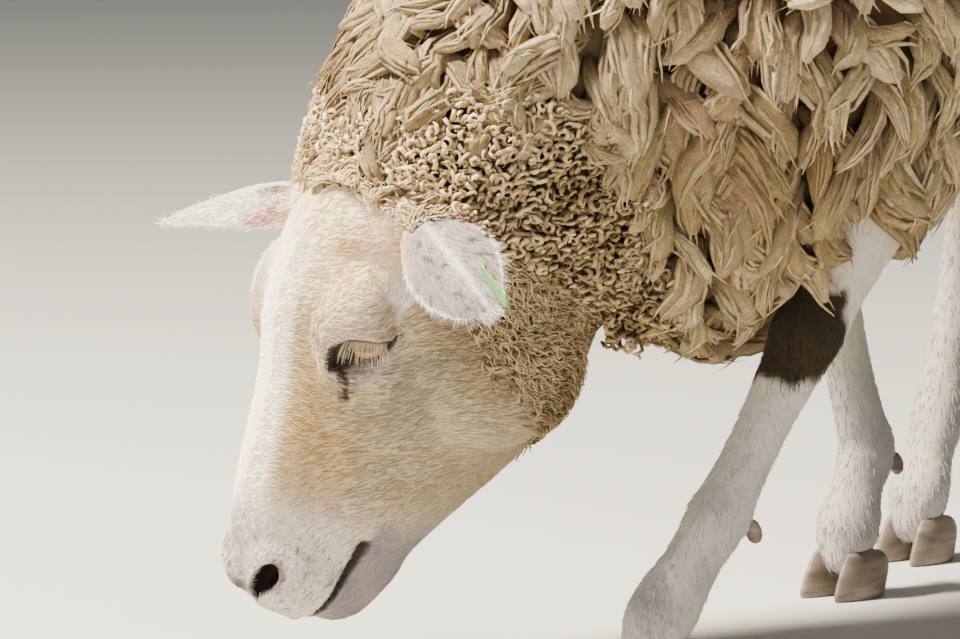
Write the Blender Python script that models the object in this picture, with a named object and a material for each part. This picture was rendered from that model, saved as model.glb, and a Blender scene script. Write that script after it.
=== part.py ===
"""Still, life-size model of a grazing ewe, in metres.

+Z is up, the animal faces -Y and its left side is on +X.
The origin is on the ground under the middle of the model.
The surfaces are those of the coat's tips: fleece on neck, trunk and tail, short hair on face and legs.
Run with: blender --background --python part.py
"""

import math

import bmesh
import bpy
from mathutils import Matrix, Vector

# Driving dimensions
BACK_HEIGHT = 0.763  # height of the fleece over the withers
BARREL_HALF = 0.232  # half the width of the fleece round the belly
FRONT_TRACK = 0.100  # half the distance between the elbows
HIND_TRACK = 0.118  # half the distance between the stifles
FETLOCK_HEIGHT = 0.103
KNEE_HEIGHT = 0.238
HOCK_HEIGHT = 0.285
CORONET_HEIGHT = 0.046
CLAW_LENGTH = 0.058
CLAW_WIDTH = 0.023
EYE_RADIUS = 0.0150
EAR_LENGTH = 0.124
GAP = 0.0003  # clearance between pieces that touch

# Pose: the ewe walks slowly and bends to its right, with the nose just above the grass
TRUNK_BEND = math.radians(16.0)  # turn of the spine from the elbows to the rump
TRUNK_BEND_LENGTH = 0.60
POLL = Vector((-0.108, -0.368, 0.332))  # top of the head, between the ears
HEAD_YAW = math.radians(-21.0)
HEAD_PITCH = math.radians(77.5)
HEAD_ROLL = math.radians(-8.5)

# Fineness
FORM_VOXEL = 0.0052
HEAD_FINENESS = 4000  # triangles of the whole body at the fineness of the head
FLEECE_FINENESS = 1800
LEG_SIDES = 12

# Trunk sections: distance behind the elbows, heights of belly, widest line and back, half width, keel
TRUNK = (
    (-0.252, 0.270, 0.325, 0.380, 0.050, 2.0),
    (-0.222, 0.210, 0.345, 0.485, 0.112, 1.9),
    (-0.160, 0.182, 0.400, 0.630, 0.164, 1.7),
    (-0.090, 0.192, 0.460, 0.718, 0.190, 1.5),
    (-0.010, 0.240, 0.488, BACK_HEIGHT - 0.005, 0.208, 1.5),
    (0.070, 0.282, 0.490, BACK_HEIGHT, 0.220, 1.7),
    (0.160, 0.292, 0.490, BACK_HEIGHT - 0.001, BARREL_HALF, 1.9),
    (0.270, 0.305, 0.495, BACK_HEIGHT - 0.003, BARREL_HALF + 0.004, 2.0),
    (0.390, 0.327, 0.505, BACK_HEIGHT - 0.002, 0.226, 2.0),
    (0.490, 0.365, 0.520, BACK_HEIGHT - 0.005, 0.205, 2.0),
    (0.580, 0.405, 0.530, 0.742, 0.170, 2.0),
    (0.640, 0.435, 0.535, 0.697, 0.115, 2.0),
    (0.668, 0.480, 0.535, 0.605, 0.045, 2.0),
)
# Neck sections from inside the chest to inside the skull: centre, half width, rise, drop
NECK = (
    ((0.000, 0.000, 0.545), 0.165, 0.205, 0.200),
    ((-0.012, -0.080, 0.490), 0.166, 0.214, 0.200),
    ((-0.036, -0.155, 0.428), 0.152, 0.178, 0.185),
    ((-0.068, -0.228, 0.360), 0.128, 0.142, 0.165),
    ((-0.092, -0.285, 0.300), 0.104, 0.108, 0.140),
    ((-0.108, -0.322, 0.250), 0.080, 0.074, 0.105),
)
# Head sections: distance noseward of the poll, level of the widest line, half width, rise, drop
HEAD = (
    (-0.030, -0.085, 0.045, 0.050, 0.080),
    (-0.004, -0.080, 0.062, 0.075, 0.118),
    (0.032, -0.075, 0.068, 0.086, 0.136),
    (0.068, -0.070, 0.068, 0.087, 0.146),
    (0.102, -0.066, 0.063, 0.083, 0.146),
    (0.136, -0.062, 0.055, 0.072, 0.140),
    (0.171, -0.060, 0.048, 0.068, 0.118),
    (0.206, -0.059, 0.044, 0.065, 0.089),
    (0.236, -0.060, 0.0415, 0.062, 0.064),
    (0.262, -0.062, 0.0385, 0.052, 0.050),
    (0.280, -0.064, 0.0300, 0.033, 0.038),
    (0.289, -0.066, 0.0130, 0.014, 0.019),
)
# Rounded masses on each side of the head: left, noseward, dorsal, then the three radii in that order
HEAD_MASSES = {
    "orbit": ((0.050, 0.092, -0.018), (0.026, 0.043, 0.026)),
    "below_eye": ((0.047, 0.114, -0.052), (0.016, 0.030, 0.020)),
    "cheek": ((0.035, 0.100, -0.128), (0.032, 0.060, 0.066)),
    "nostril_wing": ((0.018, 0.257, -0.036), (0.025, 0.027, 0.028)),
    "upper_lip": ((0.021, 0.260, -0.062), (0.020, 0.025, 0.021)),
    "chin": ((0.006, 0.242, -0.094), (0.024, 0.027, 0.022)),
    "ear_root": ((0.050, 0.020, -0.036), (0.024, 0.025, 0.024)),
}
HEAD_CUT = (0, -0.012, 0)  # a point of the plane between head and neck, and its direction towards the head
HEAD_CUT_WAY = (0, 0.955, 0.296)
EYE_CENTRE = (0.0525, 0.0990, -0.0290)
EYE_WAY = (0.780, 0.420, 0.460)  # left, noseward, dorsal: where the eye looks
EYE_SLIT = (0.613, -0.660, -0.440)  # from its inner to its outer corner
LID_OPENING = (0.0175, 0.0074, 0.0120)  # radii along the slit, across it and inwards

# Joints of each leg on the straight animal, from its top to the coronet: left, behind the elbows, height
LEGS = {
    "front_left": (
        (FRONT_TRACK, 0.010, 0.500),
        (FRONT_TRACK + 0.006, -0.045, 0.365),
        (0.088, -0.137, KNEE_HEIGHT - 0.022),
        (0.068, -0.199, FETLOCK_HEIGHT + 0.004),
        (0.060, -0.246, CORONET_HEIGHT + 0.002),
    ),
    "front_right": (
        (-FRONT_TRACK, 0.040, 0.500),
        (-FRONT_TRACK - 0.004, 0.070, 0.370),
        (-0.088, 0.118, KNEE_HEIGHT - 0.006),
        (-0.076, 0.156, FETLOCK_HEIGHT - 0.003),
        (-0.074, 0.130, CORONET_HEIGHT),
    ),
    "hind_left": (
        (HIND_TRACK - 0.018, 0.500, 0.520),
        (HIND_TRACK, 0.530, 0.420),
        (0.100, 0.645, HOCK_HEIGHT + 0.006),
        (0.094, 0.668, FETLOCK_HEIGHT),
        (0.094, 0.640, CORONET_HEIGHT),
    ),
    "hind_right": (
        (-HIND_TRACK + 0.018, 0.450, 0.520),
        (-HIND_TRACK, 0.370, 0.415),
        (-0.118, 0.405, HOCK_HEIGHT - 0.003),
        (-0.116, 0.334, FETLOCK_HEIGHT),
        (-0.116, 0.302, CORONET_HEIGHT),
    ),
}
# Sections between two joints: share of the way, half width, reach to the front, reach to the back.
# The sleeves are the fleece round the upper legs; the short-haired legs come out of them.
FRONT_SLEEVE = (
    (0, 0.00, 0.055, 0.070, 0.075),
    (0, 0.50, 0.058, 0.074, 0.076),
    (1, 0.00, 0.052, 0.060, 0.064),
    (1, 0.25, 0.043, 0.048, 0.053),
    (1, 0.38, 0.026, 0.028, 0.030),
)
HIND_SLEEVE = (
    (0, 0.00, 0.070, 0.100, 0.100),
    (0, 0.50, 0.088, 0.112, 0.112),
    (1, 0.00, 0.074, 0.088, 0.094),
    (1, 0.35, 0.048, 0.056, 0.066),
    (1, 0.50, 0.026, 0.030, 0.040),
)
FRONT_SECTIONS = (
    (1, -0.02, 0.026, 0.028, 0.030),
    (1, 0.12, 0.037, 0.041, 0.044),
    (1, 0.50, 0.0295, 0.033, 0.036),
    (1, 0.82, 0.0240, 0.0255, 0.0265),
    (2, 0.00, 0.0250, 0.0265, 0.0255),
    (2, 0.20, 0.0210, 0.0210, 0.0225),
    (2, 0.55, 0.0180, 0.0185, 0.0205),
    (2, 0.85, 0.0190, 0.0195, 0.0225),
    (3, 0.00, 0.0220, 0.0220, 0.0240),
    (3, 0.45, 0.0195, 0.0200, 0.0205),
    (3, 0.85, 0.0240, 0.0230, 0.0225),
    (3, 1.15, 0.0230, 0.0220, 0.0225),
    (3, 1.50, 0.0120, 0.0100, 0.0160),
)
HIND_SECTIONS = (
    (1, 0.02, 0.030, 0.034, 0.036),
    (1, 0.20, 0.042, 0.048, 0.058),
    (1, 0.48, 0.036, 0.040, 0.054),
    (1, 0.80, 0.0240, 0.0245, 0.0350),
    (2, 0.00, 0.0230, 0.0245, 0.0310),
    (2, 0.20, 0.0195, 0.0215, 0.0240),
    (2, 0.55, 0.0180, 0.0185, 0.0195),
    (2, 0.85, 0.0185, 0.0195, 0.0210),
    (3, 0.00, 0.0215, 0.0215, 0.0235),
    (3, 0.45, 0.0190, 0.0195, 0.0200),
    (3, 0.85, 0.0235, 0.0225, 0.0220),
    (3, 1.15, 0.0225, 0.0215, 0.0220),
    (3, 1.50, 0.0120, 0.0100, 0.0160),
)
CLAW_SPREAD = 0.0128  # middle of each claw from the middle of the foot
TOE_OUT = math.radians(3.5)
DEWCLAW = (0.0065, 0.0070, 0.0100)  # radii

# Directions of each ear in the head's own axes (left, noseward, dorsal): along the ear, then out of its back
EARS = {
    "left": (Vector((0.957, 0.27, -0.06)), Vector((0.05, -0.55, 0.83))),
    "right": (Vector((-0.75, 0.35, 0.56)), Vector((0.06, -0.84, 0.50))),
}
EAR_ROOTS = {"left": (0.046, 0.010, -0.030), "right": (-0.050, 0.020, -0.028)}
# Share of the length, half width, half angle of the cupped section in degrees, thickness
EAR_SECTIONS = (
    (0.00, 0.0160, 100, 0.0060),
    (0.14, 0.0200, 88, 0.0052),
    (0.30, 0.0260, 66, 0.0046),
    (0.48, 0.0295, 50, 0.0042),
    (0.66, 0.0285, 42, 0.0040),
    (0.82, 0.0225, 34, 0.0038),
    (0.93, 0.0145, 28, 0.0034),
    (1.00, 0.0055, 22, 0.0024),
)
EAR_DROOP = 0.012  # how far the tip curls down from the straight line

# The tag and its stud through the left ear
TAG_LENGTH = 0.040
TAG_WIDTH = 0.012
TAG_THICK = 0.0018
TAG_SHARE = 0.76  # place of its stud along the ear
TAG_ROUND = math.radians(-26)  # and round the curve of the leaf
TAG_TURN = math.radians(165)
TAG_LEAN = math.radians(4)
STUD_RADIUS = 0.0022

# Mouth and nostrils
MOUTH_WIDTH = 0.090
MOUTH_CORNER = 0.226  # noseward of the poll
MOUTH_DEPTH = 0.075
MOUTH_LEVEL = -0.0800
NOSTRIL_CENTRE = (0.0185, 0.268, -0.023)
NOSTRIL_RADII = (0.0045, 0.011, 0.0105)
NOSTRIL_TURN = math.radians(-30)

# Tail sections: centre, half width, rise, drop
TAIL = (
    ((0, 0.600, 0.670), 0.040, 0.045, 0.045),
    ((0, 0.648, 0.645), 0.042, 0.040, 0.045),
    ((0, 0.690, 0.580), 0.038, 0.032, 0.034),
    ((0, 0.700, 0.510), 0.030, 0.025, 0.026),
    ((0, 0.694, 0.465), 0.016, 0.015, 0.015),
)


HEAD_PLACE = (
    Matrix.Translation(POLL)
    @ Matrix.Rotation(HEAD_YAW, 4, "Z")
    @ Matrix.Rotation(HEAD_PITCH, 4, "X")
    @ Matrix.Rotation(HEAD_ROLL, 4, "Z")
)
UP = Vector((0, 0, 1))
FORWARD = Vector((0, -1, 0))


def head_point(left, noseward, dorsal):
    """A point of the head from its own directions, measured from the poll."""
    return HEAD_PLACE @ Vector((left, -noseward, dorsal))


def heading(y):
    """Turn of the spine at distance y behind the elbows."""
    return TRUNK_BEND * max(y, 0.0) / TRUNK_BEND_LENGTH


def bent(point):
    """Moves a point of the straight animal to its place on the curved spine."""
    x, y, z = point
    if y <= 0:
        return Vector((x, y, z))
    turn = heading(y)
    radius = TRUNK_BEND_LENGTH / TRUNK_BEND
    centre_x = -(1 - math.cos(turn)) * radius
    centre_y = math.sin(turn) * radius
    return Vector((centre_x + x * math.cos(turn), centre_y + x * math.sin(turn), z))


# shape tools


def new_object(name, bm, helper=False):
    bmesh.ops.triangulate(bm, faces=bm.faces)
    bmesh.ops.recalc_face_normals(bm, faces=bm.faces)
    if bm.calc_volume(signed=True) < 0:
        bmesh.ops.reverse_faces(bm, faces=bm.faces)
    mesh = bpy.data.meshes.new(name)
    bm.to_mesh(mesh)
    bm.free()
    obj = bpy.data.objects.new(name, mesh)
    bpy.context.scene.collection.objects.link(obj)
    if helper:
        make_helper(obj)
    return obj


def make_helper(obj):
    obj.hide_render = True
    obj.display_type = "WIRE"


def between(values, share):
    """Catmull-Rom interpolation through a list of equally spaced values, at share 0 to 1 of its length."""
    last = len(values) - 1
    position = min(max(share, 0.0), 1.0) * last
    index = min(int(position), last - 1)
    t = position - index
    p1, p2 = values[index], values[index + 1]
    p0 = values[index - 1] if index > 0 else p1 + (p1 - p2)
    p3 = values[index + 2] if index + 2 <= last else p2 + (p2 - p1)
    return 0.5 * (
        2 * p1
        + (p2 - p0) * t
        + (2 * p0 - 5 * p1 + 4 * p2 - p3) * t**2
        + (3 * p1 - p0 - 3 * p2 + p3) * t**3
    )


def ring(centre, side, rise_way, half_width, rise, drop, top_power, low_power, sides):
    """Closed outline: a superellipse with different heights and powers above and below its widest line."""
    points = []
    for k in range(sides):
        angle = 2 * math.pi * k / sides
        c, s = math.cos(angle), math.sin(angle)
        power = 2 / (top_power if s > 0 else low_power)
        across = half_width * math.copysign(abs(c) ** power, c)
        along = (rise if s > 0 else drop) * math.copysign(abs(s) ** power, s)
        points.append(centre + side * across + rise_way * along)
    return points


def skin_rings(bm, rings):
    """Joins a row of outlines into one closed tube with pointed ends."""
    loops = [[bm.verts.new(p) for p in points] for points in rings]
    count = len(loops[0])
    for low, high in zip(loops, loops[1:]):
        for k in range(count):
            bm.faces.new((low[k], low[(k + 1) % count], high[(k + 1) % count], high[k]))
    for loop, back in ((loops[0], True), (loops[-1], False)):
        middle = bm.verts.new(sum((v.co for v in loop), Vector()) / count)
        for k in range(count):
            pair = (loop[(k + 1) % count], loop[k]) if back else (loop[k], loop[(k + 1) % count])
            bm.faces.new((*pair, middle))


def tube(bm, stations, rise_hint, per_span=4, sides=28, powers=(2.0, 2.0), place=None, upright=False):
    """Lofts a closed tube through stations (centre, half_width, rise, drop), smoothed between them.

    The outlines stand across the path, or all in the direction of rise_hint when upright. A fifth value
    is the power of the outline's lower half: under 2 it is a keel.
    """
    count = (len(stations) - 1) * per_span
    top_power, low_power = powers
    centres = [Vector(s[0]) for s in stations]
    sizes = [Vector((*s[1:4], s[4] if len(s) > 4 else low_power)) for s in stations]
    shares = [k / count for k in range(count + 1)]
    path = [between(centres, s) for s in shares]
    rings = []
    for k, share in enumerate(shares):
        tangent = (path[min(k + 1, count)] - path[max(k - 1, 0)]).normalized()
        rise_way = rise_hint if upright else (rise_hint - tangent * rise_hint.dot(tangent)).normalized()
        side = tangent.cross(rise_way).normalized()
        half_width, rise, drop, keel = between(sizes, share)
        points = ring(path[k], side, rise_way, half_width, rise, drop, top_power, keel, sides)
        rings.append([place(p) for p in points] if place else points)
    skin_rings(bm, rings)


def ball(bm, centre, radii, place=Matrix.Identity(4), segments=20):
    """An ellipsoid with its axes along those of place."""
    matrix = place @ Matrix.Translation(centre) @ Matrix.Diagonal((*radii, 1.0))
    bmesh.ops.create_uvsphere(bm, u_segments=segments, v_segments=segments // 2, radius=1, matrix=matrix)


def evaluated_mesh(obj, name):
    """The mesh of obj with its modifiers applied."""
    bpy.context.view_layer.update()
    graph = bpy.context.evaluated_depsgraph_get()
    mesh = bpy.data.meshes.new_from_object(obj.evaluated_get(graph))
    mesh.name = name
    return mesh


def boolean(obj, cutter, operation="DIFFERENCE"):
    modifier = obj.modifiers.new(operation.title(), "BOOLEAN")
    modifier.operation = operation
    modifier.solver = "EXACT"
    modifier.object = cutter


def swollen(source, name, by=GAP):
    """A cutter that is source grown by a small clearance."""
    obj = bpy.data.objects.new(name, source.data)
    bpy.context.scene.collection.objects.link(obj)
    modifier = obj.modifiers.new("Clearance", "DISPLACE")
    modifier.strength = by
    modifier.mid_level = 0
    make_helper(obj)
    return obj


def half_space(name, point, normal, size=2.0):
    """A block that fills the side of a plane that normal points to."""
    bm = bmesh.new()
    turn = Vector(normal).normalized().to_track_quat("Z", "Y").to_matrix().to_4x4()
    matrix = Matrix.Translation(point) @ turn @ Matrix.Translation((0, 0, size / 2))
    bmesh.ops.create_cube(bm, size=size, matrix=matrix)
    return new_object(name, bm, helper=True)


# body forms


def add_trunk(bm):
    stations = []
    for y, belly, widest, back, half_width, keel in TRUNK:
        stations.append(((0, y, widest), half_width, back - widest, widest - belly, keel))
    tube(bm, stations, UP, sides=36, powers=(2.25, 2.0), place=bent, upright=True)


def add_neck(bm):
    tube(bm, NECK, UP, sides=32)


def add_head(bm):
    stations = [((0, -t, level), half, rise, drop) for t, level, half, rise, drop in HEAD]
    tube(bm, stations, UP, sides=32, powers=(2.35, 1.75), place=lambda p: HEAD_PLACE @ p, upright=True)
    for (left, noseward, dorsal), (wide, long, high) in HEAD_MASSES.values():
        for side in (1, -1):
            ball(bm, (side * left, -noseward, dorsal), (wide, long, high), HEAD_PLACE)


def body_meshes():
    """Trunk, neck and head as one closed skin: a finer one for the head, a plainer one for the fleece."""
    bm = bmesh.new()
    add_trunk(bm)
    add_neck(bm)
    add_head(bm)
    for name, joints in LEGS.items():
        leg_tube(bm, joints, FRONT_SLEEVE if name.startswith("front") else HIND_SLEEVE, 24)
    form = new_object("body_form", bm, helper=True)
    remesh = form.modifiers.new("Weld forms", "REMESH")
    remesh.mode = "VOXEL"
    remesh.voxel_size = FORM_VOXEL
    remesh.use_smooth_shade = True
    form.data = evaluated_mesh(form, "body_fine")
    form.modifiers.clear()
    smooth = form.modifiers.new("Soften joins", "SMOOTH")
    smooth.factor = 0.5
    decimate = form.modifiers.new("Fewer faces", "DECIMATE")
    meshes = []
    for name, rounds, triangles in (("head_body", 5, HEAD_FINENESS), ("fleece_body", 60, FLEECE_FINENESS)):
        smooth.iterations = rounds
        decimate.ratio = triangles / (2 * len(form.data.polygons))
        meshes.append(evaluated_mesh(form, name))
    return meshes


# materials


def material(name, colour, roughness):
    made = bpy.data.materials.new(name)
    made.use_nodes = True
    shader = made.node_tree.nodes["Principled BSDF"]
    shader.inputs["Base Color"].default_value = (*colour, 1.0)
    shader.inputs["Roughness"].default_value = roughness
    return made


def finish(obj, finish_material, smooth=True):
    obj.data.materials.clear()
    obj.data.materials.append(finish_material)
    if smooth:
        obj.data.shade_smooth()
        obj.data.set_sharp_from_angle(angle=math.radians(50))


# legs


def leg_frame(joints):
    """Where the foot stands: a frame on the ground under the coronet, facing as the spine does there."""
    left, behind, _ = joints[-1]
    ground = bent((left, behind, 0.0))
    turn = heading(behind) + math.copysign(TOE_OUT, left)
    return Matrix.Translation(ground) @ Matrix.Rotation(turn, 4, "Z")


def leg_tube(bm, joints, sections, sides=LEG_SIDES):
    stations = []
    for span, share, half_width, front, back in sections:
        top, low = Vector(joints[span]), Vector(joints[span + 1])
        stations.append((top.lerp(low, share), half_width, front, back))
    tube(bm, stations, FORWARD, per_span=1, sides=sides, powers=(2.1, 2.1), place=bent)


def leg(name, joints, sections):
    bm = bmesh.new()
    leg_tube(bm, joints, sections)
    return new_object(name, bm)


def claw_mesh(inner):
    """One claw on a flat sole: pointed toe on -Y, heel on +Y, its straight wall towards the other claw."""
    bm = bmesh.new()
    steps = 10
    toe, heel = 0.64 * CLAW_LENGTH, 0.36 * CLAW_LENGTH
    levels = ((0.0, 0.90), (0.003, 1.0), (0.016, 0.97), (CORONET_HEIGHT - 0.010, 0.84))
    rings = []
    for height, scale in levels:
        points = []
        for k in range(steps):
            angle = 2 * math.pi * k / steps
            c, s = math.cos(angle), math.sin(angle)
            reach = toe if s < 0 else heel
            narrow = 1 - 0.42 * max(-s, 0) ** 2.2
            outer = 1.15 if c * inner < 0 else 0.80
            x = 0.5 * CLAW_WIDTH * c * outer * narrow * scale
            y = reach * s * scale + 0.34 * height
            drop = 0.38 * max(s, 0) * height
            points.append(Vector((x, y, height - drop)))
        rings.append(points)
    skin_rings(bm, rings)
    for vert in bm.verts:  # the sole's middle lies in its plane
        if vert.co.z < 1e-6:
            vert.co.z = 0.0
    return bm


def fetlock_back(fetlock):
    """Frame behind a fetlock, where the dewclaws sit."""
    turn = Matrix.Rotation(heading(fetlock[1]), 4, "Z")
    return Matrix.Translation(bent(fetlock)) @ turn @ Matrix.Translation((0, 0.0215, -0.012))


def foot(prefix, frame, horn, behind):
    """The claws and dewclaws of one foot, each its own piece."""
    pieces = []
    outward = 1 if prefix.endswith("left") else -1
    for label, way in (("outer", outward), ("inner", -outward)):
        claw = new_object(f"{prefix}_claw_{label}", claw_mesh(-way))
        spread = Matrix.Rotation(way * math.radians(3.0), 4, "Z")
        claw.matrix_world = frame @ Matrix.Translation((way * CLAW_SPREAD, 0, 0)) @ spread
        bm = bmesh.new()
        ball(bm, (0, 0, 0), DEWCLAW, segments=8)
        dewclaw = new_object(f"{prefix}_dewclaw_{label}", bm)
        tilt = Matrix.Rotation(math.radians(28), 4, "X")
        away = Matrix.Translation((way * 0.0110, 0, 0))
        dewclaw.matrix_world = behind @ away @ tilt
        pieces += [claw, dewclaw]
    for piece in pieces:
        finish(piece, horn)
    return pieces


# tail, ears, tag and eyes


def ear_frame(side):
    """Frame of one ear at its root: X across, Y along, Z out of its back."""
    along, back = EARS[side]
    turn = HEAD_PLACE.to_3x3()
    y = (turn @ Vector((along.x, -along.y, along.z))).normalized()
    z = turn @ Vector((back.x, -back.y, back.z))
    z = (z - y * z.dot(y)).normalized()
    x = y.cross(z)
    root = head_point(*EAR_ROOTS[side])
    return Matrix.Translation(root) @ Matrix((x, y, z)).transposed().to_4x4()


def tail_shape():
    bm = bmesh.new()
    tube(bm, TAIL, Vector((0, 1, 0.2)), per_span=2, sides=10, place=bent)
    return new_object("tail", bm)


def ear_outline(y, half_width, half_angle, thickness, steps=7):
    """Section of the cupped leaf: an arc for its back and a smaller one for its inside."""
    radius = half_width / math.sin(min(half_angle, math.pi / 2))
    points = []
    for k in range(steps):
        angle = half_angle * (1 - 2 * k / (steps - 1))
        points.append((radius * math.sin(angle), radius * (math.cos(angle) - 1)))
    inner = []
    for k in range(steps - 2):
        angle = half_angle * 0.86 * (2 * (k + 1) / (steps - 1) - 1)
        r = radius - thickness * 0.5
        inner.append((r * math.sin(angle), radius * (math.cos(angle) - 1) - thickness))
    return [Vector((x, y, z + half_width * 0.25)) for x, z in points + inner]


def ear(side, matrix):
    bm = bmesh.new()
    values = [Vector((s[1], math.radians(s[2]), s[3])) for s in EAR_SECTIONS]
    shares = [s[0] for s in EAR_SECTIONS]
    rings = []
    for share, (half_width, half_angle, thickness) in zip(shares, values):
        outline = ear_outline(share * EAR_LENGTH, half_width, half_angle, thickness)
        droop = -EAR_DROOP * share**2
        rings.append([matrix @ (p + Vector((0, 0, droop))) for p in outline])
    skin_rings(bm, rings)
    return new_object(f"ear_{side}", bm)


def tag_frame(matrix):
    """Frame at the stud: Z out of the ear's back, Y along the ear."""
    shares = [s[0] for s in EAR_SECTIONS]
    index = max(k for k, share in enumerate(shares) if share <= TAG_SHARE)
    step = (TAG_SHARE - shares[index]) / (shares[index + 1] - shares[index])
    low, high = EAR_SECTIONS[index], EAR_SECTIONS[index + 1]
    half_width = low[1] + (high[1] - low[1]) * step
    half_angle = math.radians(low[2] + (high[2] - low[2]) * step)
    radius = half_width / math.sin(half_angle)
    x = radius * math.sin(TAG_ROUND)
    z = radius * (math.cos(TAG_ROUND) - 1) + half_width * 0.25 - EAR_DROOP * TAG_SHARE**2
    place = Matrix.Translation((x, TAG_SHARE * EAR_LENGTH, z))
    return matrix @ place @ Matrix.Rotation(TAG_ROUND, 4, "Y")


def rod(bm, radius, depth, matrix, height, end_radius=None):
    """A short cylinder or cone centred at a height along the Z axis of matrix."""
    place = matrix @ Matrix.Translation((0, 0, height))
    radii = {"radius1": radius, "radius2": radius if end_radius is None else end_radius}
    bmesh.ops.create_cone(bm, cap_ends=True, segments=12, depth=depth, matrix=place, **radii)


def tag_flag(bm, matrix):
    """The flat tapered flag, round over the stud and narrow at its free end."""
    outline = []
    for k in range(9):
        angle = math.pi * k / 8
        outline.append(Vector((-0.5 * TAG_WIDTH * math.cos(angle), 0.5 * TAG_WIDTH * math.sin(angle), 0)))
    outline.append(Vector((0.22 * TAG_WIDTH, -TAG_LENGTH, 0)))
    outline.append(Vector((-0.22 * TAG_WIDTH, -TAG_LENGTH, 0)))
    face = bm.faces.new([bm.verts.new(p) for p in outline])
    made = bmesh.ops.extrude_face_region(bm, geom=[face])
    moved = [v for v in made["geom"] if isinstance(v, bmesh.types.BMVert)]
    bmesh.ops.translate(bm, vec=(0, 0, TAG_THICK), verts=moved)
    hang = matrix @ Matrix.Translation((0, 0, 0.0030)) @ Matrix.Rotation(TAG_TURN, 4, "Z")
    bmesh.ops.transform(bm, matrix=hang @ Matrix.Rotation(TAG_LEAN, 4, "X"), verts=bm.verts)


def ear_tag(matrix, plastic):
    """A narrow plastic tag on a stud through the ear, with a button inside, and the hole it needs."""
    middle = tag_frame(matrix)
    stem, button, flag, hole = (bmesh.new() for _ in range(4))
    rod(stem, STUD_RADIUS, 0.014, middle, -0.0025)
    rod(button, 0.0065, 0.0018, middle, -0.0085, 0.0072)
    rod(hole, STUD_RADIUS + GAP, 0.04, middle, 0.0)
    tag_flag(flag, middle)
    obj = new_object("ear_tag", stem)
    for form, name in ((button, "tag_button_form"), (flag, "tag_flag_form")):
        boolean(obj, new_object(name, form, helper=True), "UNION")
    finish(obj, plastic, smooth=False)
    return new_object("tag_hole", hole, helper=True)


def eye(side, eyeball):
    """The eyeball, with its socket and the opening between the lids as cutters for the head."""
    sign = 1 if side == "left" else -1
    left, noseward, dorsal = EYE_CENTRE
    centre = head_point(sign * left, noseward, dorsal)
    ways = []
    for left, noseward, dorsal in (EYE_SLIT, EYE_WAY):
        ways.append((head_point(sign * left, noseward, dorsal) - POLL).normalized())
    look = ways[1]
    along = (ways[0] - look * ways[0].dot(look)).normalized()
    turn = Matrix((along, look.cross(along), look)).transposed().to_4x4()
    place = Matrix.Translation(centre) @ turn
    pair = []
    for radius, name in ((EYE_RADIUS, f"eye_{side}"), (EYE_RADIUS + GAP, f"socket_{side}")):
        bm = bmesh.new()
        bmesh.ops.create_uvsphere(bm, u_segments=16, v_segments=9, radius=radius)
        obj = new_object(name, bm, helper=name.startswith("socket"))
        obj.matrix_world = place
        pair.append(obj)
    finish(pair[0], eyeball)
    bm = bmesh.new()
    ball(bm, (0, 0, EYE_RADIUS + 0.005), LID_OPENING, place, segments=14)
    return pair[1], new_object(f"lids_{side}", bm, helper=True)


# mouth and nostrils


def mouth_cutter():
    """A thin wedge between the lips, open at the front."""
    bm = bmesh.new()
    half = 0.5 * MOUTH_WIDTH
    rings = []
    for share, gap in ((0.0, 0.0012), (0.5, 0.0028), (1.0, 0.0060)):
        noseward = MOUTH_CORNER + share * MOUTH_DEPTH
        level = MOUTH_LEVEL - 0.006 * share
        corners = ((-half, -1), (half, -1), (half, 1), (-half, 1))
        rings.append([head_point(left, noseward, level + way * gap / 2) for left, way in corners])
    skin_rings(bm, rings)
    return new_object("mouth_gap", bm, helper=True)


def nostril_cutter(sign):
    bm = bmesh.new()
    left, noseward, dorsal = NOSTRIL_CENTRE
    place = HEAD_PLACE @ Matrix.Translation((sign * left, -noseward, dorsal))
    ball(bm, (0, 0, 0), NOSTRIL_RADII, place @ Matrix.Rotation(NOSTRIL_TURN * sign, 4, "Y"), segments=14)
    return new_object(f"nostril_{sign}", bm, helper=True)


# the whole animal


def parted_body():
    """Head, neck and trunk: the body's skin parted by two planes with a small clearance."""
    head_body, fleece_body = body_meshes()
    front_way = (head_point(*HEAD_CUT_WAY) - head_point(0, 0, 0)).normalized()
    front_point = head_point(*HEAD_CUT)
    back_way = (Vector(NECK[3][0]) - Vector(NECK[1][0])).normalized()
    back_point = Vector(NECK[2][0]).lerp(Vector(NECK[3][0]), 0.1)
    parts = {}
    for name, body in (("head", head_body), ("neck", fleece_body), ("trunk", fleece_body)):
        parts[name] = bpy.data.objects.new(name, body.copy())
        bpy.context.scene.collection.objects.link(parts[name])
    half = GAP / 2
    boolean(parts["head"], half_space("behind_head", front_point + front_way * half, -front_way))
    boolean(parts["neck"], half_space("before_neck", front_point - front_way * half, front_way))
    boolean(parts["neck"], half_space("behind_neck", back_point + back_way * half, -back_way))
    boolean(parts["trunk"], half_space("before_trunk", back_point - back_way * half, back_way))
    return parts


def add_legs(parts, short_hair, horn):
    for name, joints in LEGS.items():
        in_front = name.startswith("front")
        shape = leg(f"leg_{name}", joints, FRONT_SECTIONS if in_front else HIND_SECTIONS)
        for piece in foot(name, leg_frame(joints), horn, fetlock_back(joints[3])):
            cutter = swollen(piece, f"{piece.name}_clearance")
            cutter.matrix_world = piece.matrix_world
            boolean(shape, cutter)
        socket = swollen(shape, f"leg_{name}_socket")
        for part in ("trunk", "neck") if in_front else ("trunk",):
            boolean(parts[part], socket)
        finish(shape, short_hair)


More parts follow.
